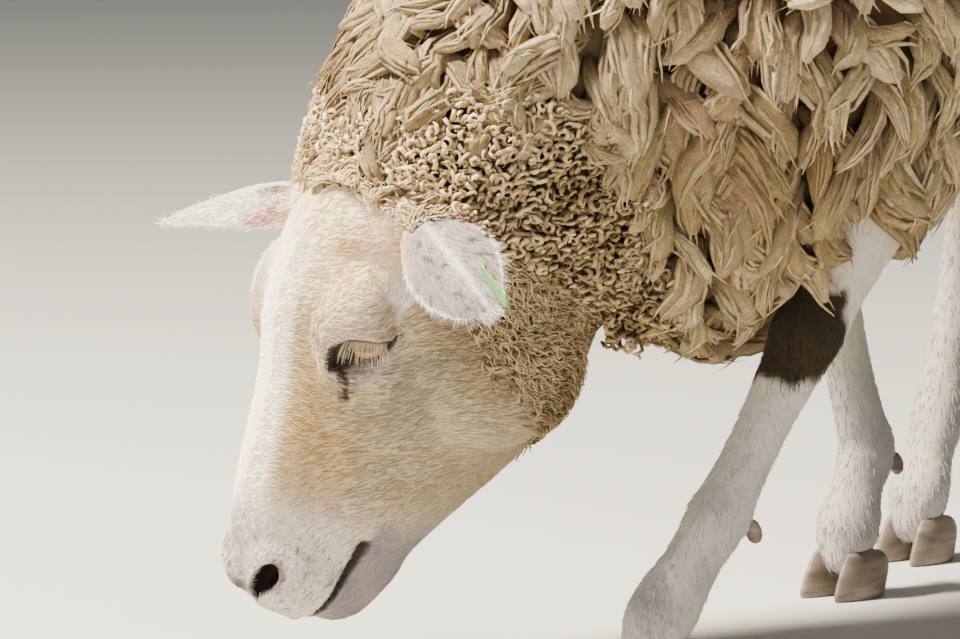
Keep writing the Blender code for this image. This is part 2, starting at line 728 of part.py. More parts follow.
def add_ears(parts, ear_hair, plastic):
    for side in ("left", "right"):
        matrix = ear_frame(side)
        leaf = ear(side, matrix)
        root = swollen(leaf, f"ear_{side}_socket")
        boolean(parts["head"], root)
        boolean(parts["neck"], root)
        if side == "left":
            boolean(leaf, ear_tag(matrix, plastic))
        finish(leaf, ear_hair)


def build():
    for obj in list(bpy.data.objects):
        bpy.data.objects.remove(obj)
    fleece = material("fleece", (0.62, 0.52, 0.38), 0.95)
    short_hair = material("short_hair", (0.74, 0.68, 0.58), 0.85)
    ear_hair = material("ear_hair", (0.62, 0.58, 0.56), 0.8)
    eyeball = material("eyeball", (0.20, 0.12, 0.05), 0.1)
    horn = material("hoof_horn", (0.05, 0.045, 0.04), 0.6)
    plastic = material("tag_plastic", (0.16, 0.36, 0.08), 0.4)

    parts = parted_body()
    finish(parts["head"], short_hair)
    finish(parts["neck"], fleece)
    finish(parts["trunk"], fleece)

    add_legs(parts, short_hair, horn)
    tail = tail_shape()
    boolean(parts["trunk"], swollen(tail, "tail_socket"))
    finish(tail, fleece)
    add_ears(parts, ear_hair, plastic)
    for side in ("left", "right"):
        for cutter in eye(side, eyeball):
            boolean(parts["head"], cutter)
    for sign in (1, -1):
        boolean(parts["head"], nostril_cutter(sign))
    boolean(parts["head"], mouth_cutter())

    centre_model()


def centre_model():
    """Moves everything so that the origin is on the ground under the middle of the model."""
    bpy.context.view_layer.update()
    graph = bpy.context.evaluated_depsgraph_get()
    low, high = Vector((9, 9, 9)), Vector((-9, -9, -9))
    for obj in bpy.context.scene.objects:
        if obj.hide_render:
            continue
        shown = obj.evaluated_get(graph)
        mesh = shown.to_mesh()
        for vert in mesh.vertices:
            point = shown.matrix_world @ vert.co
            low = Vector(map(min, low, point))
            high = Vector(map(max, high, point))
        shown.to_mesh_clear()
    shift = Matrix.Translation((-(low.x + high.x) / 2, -(low.y + high.y) / 2, -low.z))
    for obj in bpy.context.scene.objects:
        obj.matrix_world = shift @ obj.matrix_world
    print("origin moved by", tuple(round(v, 4) for v in shift.translation))


build()
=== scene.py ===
import math

import bmesh
import bpy
import numpy as np
from mathutils import Matrix, Vector
from mathutils.bvhtree import BVHTree
from mathutils.kdtree import KDTree


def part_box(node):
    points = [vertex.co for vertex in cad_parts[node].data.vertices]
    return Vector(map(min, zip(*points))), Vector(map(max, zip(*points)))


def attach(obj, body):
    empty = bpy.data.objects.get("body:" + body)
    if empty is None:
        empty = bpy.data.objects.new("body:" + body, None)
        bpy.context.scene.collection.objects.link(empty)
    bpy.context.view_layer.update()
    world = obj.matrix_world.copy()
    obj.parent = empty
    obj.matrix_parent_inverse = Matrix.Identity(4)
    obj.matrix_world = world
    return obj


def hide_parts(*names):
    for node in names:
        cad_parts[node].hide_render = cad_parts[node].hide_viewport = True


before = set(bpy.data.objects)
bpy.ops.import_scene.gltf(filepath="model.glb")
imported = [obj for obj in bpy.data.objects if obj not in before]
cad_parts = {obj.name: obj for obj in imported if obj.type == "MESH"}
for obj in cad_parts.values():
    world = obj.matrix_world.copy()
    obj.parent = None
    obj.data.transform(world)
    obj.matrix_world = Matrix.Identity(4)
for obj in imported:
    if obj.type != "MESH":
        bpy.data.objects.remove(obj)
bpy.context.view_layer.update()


# Places: metres on the animal's own axes, from the ground under the elbows: left +X, forwards -Y, up +Z.

pose = {
    "spineBend": math.radians(16.0),  # turn of the spine from the elbows to the rump
    "spineLength": 0.60,
    "poll": (-0.108, -0.368, 0.332),
    "headYaw": math.radians(-21.0),
    "headPitch": math.radians(77.5),
    "headRoll": math.radians(-8.5),
}
eyeShape = {
    "solid": (0.0525, 0.0990, -0.0290),  # left, noseward, dorsal of the poll
    "centre": (0.0497, 0.0943, -0.0293),
    "look": (0.780, 0.420, 0.460),
    "slit": (0.572, -0.191, -0.798),  # from the inner to the outer corner
    "radius": 0.0175,
}
bothSides = ("left", "right")
upWay = Vector((0, 0, 1))
forwards = Vector((0, -1, 0))


def headMatrix():
    place = Matrix.Translation(pose["poll"]) @ Matrix.Rotation(pose["headYaw"], 4, "Z")
    return place @ Matrix.Rotation(pose["headPitch"], 4, "X") @ Matrix.Rotation(pose["headRoll"], 4, "Z")


# the left eye in the frame says where the ground under the elbows is
eyeLow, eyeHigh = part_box("eye_left")
eyeLeft, eyeNose, eyeTop = eyeShape["solid"]
shift = (eyeLow + eyeHigh) / 2 - headMatrix() @ Vector((eyeLeft, -eyeNose, eyeTop))
shift.z = 0.0
headPlace = Matrix.Translation(shift) @ headMatrix()
headTurn = np.array(headPlace.to_3x3())
headStart = np.array(headPlace.translation)


def headPoint(left, noseward, dorsal):
    return headPlace @ Vector((left, -noseward, dorsal))


def headWay(left, noseward, dorsal):
    return (headPlace.to_3x3() @ Vector((left, -noseward, dorsal))).normalized()


def toHead(points):
    # left, noseward and dorsal of the poll
    return ((points - headStart) @ headTurn) * np.array((1.0, -1.0, 1.0))


def toHalfHead(points):
    # the same, with both halves of the head laid on the left one
    h = toHead(points)
    h[:, 0] = np.abs(h[:, 0])
    return h


def bent(point):
    x, y, z = point
    if y > 0:
        radius = pose["spineLength"] / pose["spineBend"]
        turn = y / radius
        x, y = x * math.cos(turn) - (1 - math.cos(turn)) * radius, (x + radius) * math.sin(turn)
    return Vector((x, y, z)) + shift


# Number tools

def unit(vectors):
    return vectors / np.maximum(np.linalg.norm(vectors, axis=-1, keepdims=True), 1e-9)


def alongSurface(ways, normals):
    return unit(ways - normals * (ways * normals).sum(-1, keepdims=True))


def ramp(low, high, x):
    t = np.clip((x - low) / (high - low), 0.0, 1.0)
    return t * t * (3 - 2 * t)


def ripples(points, size, seed, layers=7):
    # smooth noise from about -1 to 1, from a few waves of that size in random directions
    waves = np.random.default_rng(seed)
    ways = unit(waves.normal(size=(layers, 3))) * waves.uniform(0.6, 1.6, (layers, 1)) * 2 * math.pi / size
    return np.sin(points @ ways.T + waves.uniform(0, 6.3, layers)).mean(1) * 1.7


def moved(points, place):
    place = np.array(place)
    return points @ place[:3, :3].T + place[:3, 3]


def mixed(tint, colour, share):
    share = share[:, None]
    return tint * (1 - share) + np.array(colour) * share


def spline(rows, perSpan):
    # Catmull-Rom curve through the rows, with perSpan steps between two of them
    rows = np.asarray(rows, float)
    before = np.vstack([2 * rows[0] - rows[1], rows[:-1]])
    after = np.vstack([rows[2:], 2 * rows[-1] - rows[-2]])
    t = np.arange(perSpan)[:, None] / perSpan
    spans = []
    for p0, p1, p2, p3 in zip(before, rows[:-1], rows[1:], after):
        bend = (2 * p0 - 5 * p1 + 4 * p2 - p3) * t**2 + (3 * p1 - p0 - 3 * p2 + p3) * t**3
        spans.append(0.5 * (2 * p1 + (p2 - p0) * t + bend))
    return np.vstack(spans + [rows[-1:]])


# Mesh tools

def newObject(name, data):
    made = bpy.data.objects.new(name, data)
    bpy.context.scene.collection.objects.link(made)
    return made


def meshObject(name, bm):
    bmesh.ops.recalc_face_normals(bm, faces=bm.faces)
    mesh = bpy.data.meshes.new(name)
    bm.to_mesh(mesh)
    bm.free()
    mesh.shade_smooth()
    return newObject(name, mesh)


def evaluated(made):
    bpy.context.view_layer.update()
    graph = bpy.context.evaluated_depsgraph_get()
    return bpy.data.meshes.new_from_object(made.evaluated_get(graph))


def applyModifiers(made):
    mesh = evaluated(made)
    made.modifiers.clear()
    made.data = mesh


def cut(made, cutter, operation):
    modifier = made.modifiers.new(operation.title(), "BOOLEAN")
    modifier.operation = operation
    modifier.solver = "EXACT"
    modifier.object = cutter
    applyModifiers(made)
    bpy.data.objects.remove(cutter)


def closeLoops(bm, loops):
    count = len(loops[0])
    for low, high in zip(loops, loops[1:]):
        for k in range(count):
            bm.faces.new((low[k], low[(k + 1) % count], high[(k + 1) % count], high[k]))
    for loop in (loops[0], loops[-1]):
        middle = bm.verts.new(sum((v.co for v in loop), Vector()) / count)
        for k in range(count):
            bm.faces.new((loop[(k + 1) % count], loop[k], middle))


def loft(bm, stations, riseWay, perSpan=6, sides=40, powers=(2.0, 2.0), place=None, upright=False):
    # a closed tube through stations of centre, half width, rise, drop and the power of the lower half
    topPower, lowPower = powers
    rows = spline([(*s[0], *s[1:4], s[4] if len(s) > 4 else lowPower) for s in stations], perSpan)
    angles = np.arange(sides) * 2 * math.pi / sides
    c, s = np.cos(angles), np.sin(angles)
    loops = []
    for k, row in enumerate(rows):
        tangent = Vector(rows[min(k + 1, len(rows) - 1), :3] - rows[max(k - 1, 0), :3]).normalized()
        rise = riseWay if upright else (riseWay - tangent * riseWay.dot(tangent)).normalized()
        side = tangent.cross(rise).normalized()
        power = np.where(s > 0, 2 / topPower, 2 / row[6])
        across = row[3] * np.sign(c) * np.abs(c) ** power
        along = np.where(s > 0, row[4], row[5]) * np.sign(s) * np.abs(s) ** power
        centre = Vector(row[:3])
        points = [centre + side * a + rise * b for a, b in zip(across, along)]
        loops.append([bm.verts.new(place(p) if place else p) for p in points])
    closeLoops(bm, loops)


def ball(bm, centre, radii, place, segments=32):
    matrix = place @ Matrix.Translation(centre) @ Matrix.Diagonal((*radii, 1.0))
    bmesh.ops.create_uvsphere(bm, u_segments=segments, v_segments=segments // 2, radius=1, matrix=matrix)


# The body under its coat: the same sections as the solids, drawn in by the depth of the coat

trunkSections = {
    "depth": 0.030,
    # behind the elbows, heights of belly, widest line and back, half width, keel
    "rows": (
        (-0.252, 0.270, 0.325, 0.380, 0.050, 2.0),
        (-0.222, 0.210, 0.345, 0.485, 0.112, 1.9),
        (-0.160, 0.182, 0.400, 0.630, 0.164, 1.7),
        (-0.090, 0.192, 0.460, 0.718, 0.190, 1.5),
        (-0.010, 0.240, 0.488, 0.758, 0.208, 1.5),
        (0.070, 0.282, 0.490, 0.763, 0.220, 1.7),
        (0.160, 0.292, 0.490, 0.762, 0.232, 1.9),
        (0.270, 0.305, 0.495, 0.760, 0.236, 2.0),
        (0.390, 0.327, 0.505, 0.761, 0.226, 2.0),
        (0.490, 0.365, 0.520, 0.758, 0.205, 2.0),
        (0.580, 0.405, 0.530, 0.742, 0.170, 2.0),
        (0.640, 0.435, 0.535, 0.697, 0.115, 2.0),
        (0.668, 0.480, 0.535, 0.605, 0.045, 2.0),
    ),
}
neckSections = {
    # centre, half width, rise, drop, depth of the coat
    "rows": (
        ((0.000, 0.000, 0.545), 0.165, 0.205, 0.200, 0.030),
        ((-0.012, -0.080, 0.490), 0.166, 0.214, 0.200, 0.028),
        ((-0.036, -0.155, 0.428), 0.152, 0.178, 0.185, 0.024),
        ((-0.068, -0.228, 0.360), 0.128, 0.142, 0.165, 0.019),
        ((-0.092, -0.285, 0.300), 0.104, 0.108, 0.140, 0.013),
        ((-0.108, -0.322, 0.250), 0.080, 0.074, 0.105, 0.008),
    ),
}
headSections = {
    "depth": 0.0030,
    # noseward of the poll, level of the widest line, half width, rise, drop
    "rows": (
        (-0.030, -0.085, 0.045, 0.050, 0.080),
        (-0.004, -0.080, 0.062, 0.075, 0.118),
        (0.032, -0.075, 0.068, 0.086, 0.136),
        (0.068, -0.070, 0.068, 0.087, 0.146),
        (0.102, -0.066, 0.063, 0.083, 0.146),
        (0.136, -0.062, 0.055, 0.072, 0.140),
        (0.171, -0.060, 0.048, 0.068, 0.118),
        (0.206, -0.059, 0.044, 0.065, 0.089),
        (0.236, -0.060, 0.0415, 0.062, 0.064),
        (0.262, -0.062, 0.0385, 0.052, 0.050),
        (0.281, -0.060, 0.0310, 0.038, 0.038),
        (0.290, -0.058, 0.0160, 0.027, 0.024),
    ),
    # rounded masses on each side: left, noseward, dorsal, then their radii
    "masses": (
        ((0.050, 0.092, -0.018), (0.026, 0.043, 0.026)),  # orbit
        ((0.047, 0.114, -0.052), (0.016, 0.030, 0.020)),  # below the eye
        ((0.035, 0.100, -0.128), (0.032, 0.060, 0.066)),  # cheek
        ((0.018, 0.258, -0.034), (0.025, 0.029, 0.029)),  # wing of the nostril
        ((0.021, 0.261, -0.059), (0.021, 0.027, 0.023)),  # upper lip
        ((0.006, 0.242, -0.094), (0.024, 0.027, 0.022)),  # chin
        ((0.050, 0.020, -0.036), (0.024, 0.025, 0.024)),  # root of the ear
    ),
}
legJoints = {
    "front_left": (
        (0.100, 0.010, 0.500),
        (0.106, -0.045, 0.365),
        (0.088, -0.137, 0.216),
        (0.068, -0.199, 0.107),
        (0.060, -0.246, 0.048),
    ),
    "front_right": (
        (-0.100, 0.040, 0.500),
        (-0.104, 0.070, 0.370),
        (-0.088, 0.118, 0.232),
        (-0.076, 0.156, 0.100),
        (-0.074, 0.130, 0.046),
    ),
    "hind_left": (
        (0.100, 0.500, 0.520),
        (0.118, 0.530, 0.420),
        (0.100, 0.645, 0.291),
        (0.094, 0.668, 0.103),
        (0.094, 0.640, 0.046),
    ),
    "hind_right": (
        (-0.100, 0.450, 0.520),
        (-0.118, 0.370, 0.415),
        (-0.118, 0.405, 0.282),
        (-0.116, 0.334, 0.103),
        (-0.116, 0.302, 0.046),
    ),
}
legSections = {
    "depth": 0.0022,
    "sleeveDepth": 0.016,
    "sleeveEnd": {"front": 0.045, "hind": 0.062},  # below the elbow or the stifle
    "reach": 0.062,  # of the short hair round the bones
    # span between two joints, share of it, half width, reach to the front, reach to the back
    "frontSleeve": (
        (0, 0.00, 0.055, 0.070, 0.075),
        (0, 0.50, 0.058, 0.074, 0.076),
        (1, 0.00, 0.052, 0.060, 0.064),
        (1, 0.25, 0.043, 0.048, 0.053),
        (1, 0.38, 0.026, 0.028, 0.030),
    ),
    "hindSleeve": (
        (0, 0.00, 0.070, 0.100, 0.100),
        (0, 0.50, 0.088, 0.112, 0.112),
        (1, 0.00, 0.074, 0.088, 0.094),
        (1, 0.35, 0.048, 0.056, 0.066),
        (1, 0.50, 0.026, 0.030, 0.040),
    ),
    "front": (
        (1, -0.02, 0.026, 0.028, 0.030),
        (1, 0.12, 0.037, 0.041, 0.044),
        (1, 0.50, 0.0295, 0.033, 0.036),
        (1, 0.82, 0.0240, 0.0255, 0.0265),
        (2, 0.00, 0.0250, 0.0265, 0.0255),
        (2, 0.20, 0.0210, 0.0210, 0.0225),
        (2, 0.55, 0.0180, 0.0185, 0.0205),
        (2, 0.85, 0.0190, 0.0195, 0.0225),
        (3, 0.00, 0.0220, 0.0220, 0.0240),
        (3, 0.45, 0.0195, 0.0200, 0.0205),
        (3, 0.85, 0.0240, 0.0230, 0.0225),
        (3, 1.15, 0.0230, 0.0220, 0.0225),
        (3, 1.50, 0.0120, 0.0100, 0.0160),
    ),
    "hind": (
        (1, 0.02, 0.030, 0.034, 0.036),
        (1, 0.20, 0.042, 0.048, 0.058),
        (1, 0.48, 0.036, 0.040, 0.054),
        (1, 0.80, 0.0240, 0.0245, 0.0350),
        (2, 0.00, 0.0230, 0.0245, 0.0310),
        (2, 0.20, 0.0195, 0.0215, 0.0240),
        (2, 0.55, 0.0180, 0.0185, 0.0195),
        (2, 0.85, 0.0185, 0.0195, 0.0210),
        (3, 0.00, 0.0215, 0.0215, 0.0235),
        (3, 0.45, 0.0190, 0.0195, 0.0200),
        (3, 0.85, 0.0235, 0.0225, 0.0220),
        (3, 1.15, 0.0225, 0.0215, 0.0220),
        (3, 1.50, 0.0120, 0.0100, 0.0160),
    ),
}
tailSections = {
    "depth": 0.012,
    "rows": (
        ((0, 0.600, 0.670), 0.040, 0.045, 0.045),
        ((0, 0.648, 0.645), 0.042, 0.040, 0.045),
        ((0, 0.690, 0.580), 0.038, 0.032, 0.034),
        ((0, 0.700, 0.510), 0.030, 0.025, 0.026),
        ((0, 0.694, 0.465), 0.016, 0.015, 0.015),
    ),
}
skinFineness = {"voxel": 0.0058, "hairRounds": 3, "woolRounds": 12}


def addTrunk(bm):
    depth = trunkSections["depth"]
    rows = trunkSections["rows"]
    stations = []
    for k, (y, belly, widest, back, half, keel) in enumerate(rows):
        y += depth * ((k == 0) - (k == len(rows) - 1))
        stations.append(((0, y, widest), half - depth, back - widest - depth, widest - belly - depth, keel))
    loft(bm, stations, upWay, sides=48, powers=(2.25, 2.0), place=bent, upright=True)


def addNeck(bm):
    stations = []
    for centre, half, rise, drop, depth in neckSections["rows"]:
        stations.append((centre, half - depth, rise - depth, drop - depth))
    loft(bm, stations, upWay, place=lambda p: p + shift)


def addHead(bm):
    depth = headSections["depth"]
    stations = []
    for t, level, half, rise, drop in headSections["rows"]:
        thinner = 1 - 0.75 * min(max((t - 0.16) / 0.06, 0), 1)  # the hair is shorter on the muzzle
        thick = depth * thinner + 0.004 * max(0.0, 1 - (t + 0.03) / 0.06)
        stations.append(((0, -t, level), half - thick, rise - thick, drop - thick))
    loft(bm, stations, upWay, sides=56, powers=(2.35, 1.75), place=lambda p: headPlace @ p, upright=True)
    for (left, noseward, dorsal), radii in headSections["masses"]:
        for side in (1, -1):
            thick = depth if noseward < 0.2 else 0.25 * depth
            ball(bm, (side * left, -noseward, dorsal), [r - thick for r in radii], headPlace)


def addLimb(bm, joints, sections, depth, sides=32):
    stations = []
    for span, share, half, front, back in sections:
        centre = Vector(joints[span]).lerp(Vector(joints[span + 1]), share)
        stations.append((centre, half - depth, front - depth, back - depth))
    loft(bm, stations, forwards, perSpan=4, sides=sides, powers=(2.1, 2.1), place=bent)


def bodyForm():
    bm = bmesh.new()
    addTrunk(bm)
    addNeck(bm)
    addHead(bm)
    for name, joints in legJoints.items():
        kind = name.split("_")[0]
        addLimb(bm, joints, legSections[kind + "Sleeve"], legSections["sleeveDepth"])
        addLimb(bm, joints, legSections[kind], legSections["depth"])
    stations = []
    depth = tailSections["depth"]
    for centre, half, rise, drop in tailSections["rows"]:
        stations.append((centre, half - depth, rise - depth, drop - depth))
    loft(bm, stations, Vector((0, 1, 0.2)), sides=24, place=bent)
    form = meshObject("skin", bm)
    remesh = form.modifiers.new("Weld forms", "REMESH")
    remesh.mode = "VOXEL"
    remesh.voxel_size = skinFineness["voxel"]
    applyModifiers(form)
    return form


# Ears: cupped leaves, joined to the body before its surface is refined

earShape = {
    "length": 0.124,
    "droop": 0.012,  # how far the tip curls down from the straight line
    "depth": 0.0008,
    "ridge": 0.0007,
    "left": {
        "root": (0.046, 0.010, -0.030),
        "along": (0.957, 0.27, -0.06),
        "back": (0.05, -0.55, 0.83),
        "narrow": 0.0,  # share of the width lost where the leaf folds shut
    },
    "right": {
        "root": (-0.050, 0.023, -0.028),
        "along": (-0.75, 0.365, 0.555),
        "back": (0.06, -0.84, 0.50),
        "narrow": 0.28,
    },
    # share of the length, half width, half angle of the cupped section in degrees, thickness
    "rows": (
        (0.00, 0.0160, 100, 0.0060),
        (0.14, 0.0200, 88, 0.0052),
        (0.30, 0.0260, 66, 0.0046),
        (0.48, 0.0295, 50, 0.0042),
        (0.66, 0.0285, 42, 0.0040),
        (0.82, 0.0225, 34, 0.0038),
        (0.93, 0.0145, 28, 0.0034),
        (1.00, 0.0055, 22, 0.0024),
    ),
}


def earFrame(side):
    shape = earShape[side]
    y = headWay(*shape["along"])
    z = headWay(*shape["back"])
    z = (z - y * z.dot(y)).normalized()
    return Matrix.Translation(headPoint(*shape["root"])) @ Matrix((y.cross(z), y, z)).transposed().to_4x4()


def earNarrowing(side, share):
    return 1 - earShape[side]["narrow"] * ramp(0.35, 0.80, share)


def earLeaf(side):
    place = earFrame(side)
    half = 21  # points across the back
    across = np.linspace(1, -1, half)
    bm = bmesh.new()
    loops = []
    for share, width, angle, thick in spline(earShape["rows"], 5):
        width *= earNarrowing(side, share)
        angle = math.radians(angle)
        radius = width / math.sin(min(angle, math.pi / 2))
        crest = np.exp(-(((across + 0.12) / 0.09) ** 2))
        ridge = earShape["ridge"] * crest * math.sin(math.pi * share) ** 0.5
        backX = (radius - earShape["depth"] + ridge) * np.sin(angle * across) * 0.985
        backZ = radius * (np.cos(angle * across) - 1) - earShape["depth"] + ridge
        inner = -across[1:-1] * 0.95
        rim = 0.4 + 0.6 * np.sqrt(1 - np.abs(inner) ** 3)
        innerX = (radius - thick * 0.5) * np.sin(angle * inner) * 0.985
        innerZ = radius * (np.cos(angle * inner) - 1) - (thick - earShape["depth"]) * rim
        x = np.concatenate([backX, innerX])
        z = np.concatenate([backZ, innerZ]) + width * 0.25 - earShape["droop"] * share**2
        y = share * (earShape["length"] - 0.001)
        loops.append([bm.verts.new(place @ Vector((a, y, c))) for a, c in zip(x, z)])
    closeLoops(bm, loops)
    return meshObject(f"leaf_{side}", bm)


# Surface tools

def pointsOf(mesh):
    points = np.empty(len(mesh.vertices) * 3)
    mesh.vertices.foreach_get("co", points)
    return points.reshape(-1, 3)


def movePoints(mesh, points):
    mesh.vertices.foreach_set("co", points.ravel())
    mesh.update()


def normalsOf(mesh):
    normals = np.empty(len(mesh.vertices) * 3, np.float32)
    mesh.vertex_normals.foreach_get("vector", normals)
    return normals.reshape(-1, 3).astype(float)


def relax(mesh, rounds, weights, factor=0.5, back=1.03):
    # smooths without shrinking: each pull to the middle of the neighbours is followed by a push back
    points = pointsOf(mesh)
    ends = np.empty(len(mesh.edges) * 2, np.int32)
    mesh.edges.foreach_get("vertices", ends)
    a, b = ends.reshape(-1, 2).T
    both = np.concatenate([a, b])
    count = np.maximum(np.bincount(both, minlength=len(points)), 1)[:, None]
    weights = np.broadcast_to(weights, len(points))[:, None]
    for k in range(2 * rounds):
        sums = np.empty_like(points)
        for axis in range(3):
            near = np.concatenate([points[b, axis], points[a, axis]])
            sums[:, axis] = np.bincount(both, weights=near, minlength=len(points))
        points += weights * (factor if k % 2 == 0 else -back * factor) * (sums / count - points)
    movePoints(mesh, points)


def onHead(points):
    # share of the head in a point: 1 in front of the plane behind the poll, 0 on the neck
    h = toHead(points)
    ahead = ramp(-0.006, 0.006, (h[:, 1] + 0.012) * 0.955 + h[:, 2] * 0.296)
    near = (np.abs(h[:, 0]) < 0.20) & (h[:, 2] > -0.225) & (h[:, 2] < 0.12) & (h[:, 1] < 0.33)
    return ahead * near


def onLegs(points):
    # share of short-haired leg: height under the sleeves of wool, by leg
    share = np.zeros(len(points))
    for name, joints in legJoints.items():
        top = joints[1][2] - legSections["sleeveEnd"][name.split("_")[0]]
        axis = np.array([bent(j) for j in joints])
        away = np.full(len(points), 9.0)
        for low, high in zip(axis[1:-1], axis[2:]):
            span = high - low
            t = np.clip((points - low) @ span / (span @ span), 0, 1.4)
            away = np.minimum(away, np.linalg.norm(points - low - t[:, None] * span, axis=1))
        below = ramp(top + 0.012, top - 0.012, points[:, 2])
        share = np.maximum(share, (away < legSections["reach"]) * below)
    return share


def inEar(points, side):
    # places on an ear: across, along and out of its back
    return moved(points, earFrame(side).inverted())


def besideEar(ear):
    return (ear[:, 1] < 0.14) & (np.abs(ear[:, 0]) < 0.045) & (np.abs(ear[:, 2]) < 0.04)


def alongEar(points, side):
    # places on an ear, their share of its length and its half width there
    spots = inEar(points, side)
    t = np.clip(spots[:, 1] / earShape["length"], 0, 1)
    rows = np.array(earShape["rows"])
    return spots, t, np.interp(t, rows[:, 0], rows[:, 1]) * earNarrowing(side, t)


def onEar(points):
    share = np.zeros(len(points))
    for side in bothSides:
        ear = inEar(points, side)
        near = (ear[:, 1] < 0.14) & (np.abs(ear[:, 0]) < 0.045) & (ear[:, 2] > -0.05) & (ear[:, 2] < 0.03)
        share = np.maximum(share, ramp(0.030, 0.040, ear[:, 1]) * near)
    return share


def refine(bm, chosen):
    # splits each face whose corners are all chosen into four
    inside = chosen(np.array([v.co for v in bm.verts]))
    edges = [e for e in bm.edges if inside[e.verts[0].index] and inside[e.verts[1].index]]
    bmesh.ops.subdivide_edges(bm, edges=edges, cuts=1, use_grid_fill=True)
    bm.verts.index_update()


def hairRegion(points):
    return np.maximum(onHead(points), onLegs(points)) > 0.02


def fineRegion(points):
    # the muzzle and the skin round the eyes
    h = toHalfHead(points)
    away = np.linalg.norm(h - np.array(eyeShape["centre"]), axis=1)
    return (h[:, 1] > 0.005) & ((h[:, 1] > 0.195) & (h[:, 0] < 0.07) | (away < 0.050))


def lipRegion(points):
    h = toHead(points)
    corner = mouthShape["rows"][0][0]
    return (np.abs(h[:, 0]) < 0.07) & (h[:, 1] > corner - 0.006) & (np.abs(fromLips(h)) < 0.0095)


# Openings: a round piece of the skin is swapped for rings of faces that follow the opening's rim

def skinLevel(tree, place, x, y, reach=0.06):
    # height of the skin over the plane of the opening
    start = place @ Vector((x, y, reach))
    way = (place.to_3x3() @ Vector((0, 0, -1))).normalized()
    hit = tree.ray_cast(start, way, 2.5 * reach)
    return max(reach - hit[3], -0.020) if hit[0] else -0.020


def evened(values, rounds):
    for _ in range(rounds):
        values = 0.5 * values + 0.25 * (np.roll(values, 1, axis=0) + np.roll(values, -1, axis=0))
    return values


def edgeLoop(local):
    # the open edge of the hole, as points in order round it
    beside = {}
    for vert in local:
        if vert.is_valid:
            others = [e.other_vert(vert) for e in vert.link_edges if len(e.link_faces) == 1]
            if len(others) == 2:
                beside[vert] = others
    loop, last = [next(iter(beside))], None
    while len(loop) <= len(beside):
        ahead = [v for v in beside[loop[-1]] if v is not last][0]
        last = loop[-1]
        if ahead is loop[0]:
            break
        loop.append(ahead)
    return loop


def openPatch(bm, tree, place, outer, ringsOf):
    inverse = place.inverted()
    wide, high = outer
    local = {v: inverse @ v.co for v in bm.verts if (v.co - place.translation).length < 2.2 * max(outer)}
    inside = {v for v, p in local.items() if (p.x / wide) ** 2 + (p.y / high) ** 2 < 1 and p.z > -0.022}
    doomed = [f for f in bm.faces if all(v in inside for v in f.verts)]
    bmesh.ops.delete(bm, geom=doomed, context="FACES")
    loop = edgeLoop(local)
    spots = np.array([local[v] for v in loop])
    area = (spots[:, 0] * np.roll(spots[:, 1], -1) - np.roll(spots[:, 0], -1) * spots[:, 1]).sum()
    if area < 0:
        loop, spots = loop[::-1], spots[::-1]
    count = len(loop)
    angle = np.unwrap(np.arctan2(spots[:, 1] / high, spots[:, 0] / wide))
    even = 2 * np.pi * np.arange(count) / count
    angle = even + evened(angle - even, 120)
    rings, middle = ringsOf(evened(spots, 6), angle, lambda x, y: skinLevel(tree, place, x, y))
    previous = loop
    for ring in rings:
        current = [bm.verts.new(place @ Vector(p)) for p in ring]
        for k in range(count):
            following = (k + 1) % count
            bm.faces.new((previous[k], previous[following], current[following], current[k]))
        previous = current
    tip = bm.verts.new(place @ Vector(middle))
    for k in range(count):
        bm.faces.new((previous[k], previous[(k + 1) % count], tip))


def openingFrame(side, shape):
    # X across the opening, Y up towards the brow, Z out of it. The right one mirrors the left.
    sign = 1 if side == "left" else -1
    left, noseward, dorsal = shape["centre"]
    z = headWay(sign * shape["look"][0], *shape["look"][1:])
    x = headWay(sign * shape["slit"][0], *shape["slit"][1:])
    x = (x - z * x.dot(z)).normalized()
    place = Matrix((x, z.cross(x) * sign, z)).transposed().to_4x4()
    return Matrix.Translation(headPoint(sign * left, noseward, dorsal)) @ place


def closedRim(rows, grow=0.0):
    # the rim as angles and distances from its middle, from a few points round it
    rows = np.array(rows)
    loop = spline(np.concatenate([rows[-2:], rows, rows[:2]]), 8)[8:-8]
    radius = np.linalg.norm(loop, axis=1) + grow
    angle = np.arctan2(loop[:, 1], loop[:, 0])
    order = np.argsort(angle)
    return lambda at: np.interp(at, angle[order], radius[order], period=2 * np.pi)


lidShape = {
    "outer": (0.030, 0.025),  # half size of the piece of skin that the lids are made in
    # round the opening from its outer corner over the upper lid to the tear duct and back
    "margin": (
        (0.0155, 0.0022),
        (0.0123, 0.0034),
        (0.0075, 0.0048),
        (0.0015, 0.0058),
        (-0.0050, 0.0056),
        (-0.0110, 0.0038),
        (-0.0140, 0.0014),
        (-0.0152, -0.0022),
        (-0.0160, -0.0060),
        (-0.0150, -0.0090),
        (-0.0118, -0.0086),
        (-0.0080, -0.0090),
        (-0.0032, -0.0092),
        (0.0021, -0.0086),
        (0.0074, -0.0068),
        (0.0116, -0.0042),
        (0.0144, -0.0009),
    ),
    "thickness": 0.0026,
    "corners": (0.0158, 0.0100),  # heights of the tear duct and the outer corner over the eye's middle
    "rings": 22,
    "upperFold": 0.0022,
    "lowerFold": 0.0010,
    "brow": 0.0022,  # swelling of the upper lid over its rim
}
eyeOpening = dict(eyeShape, margin=lidShape["margin"])


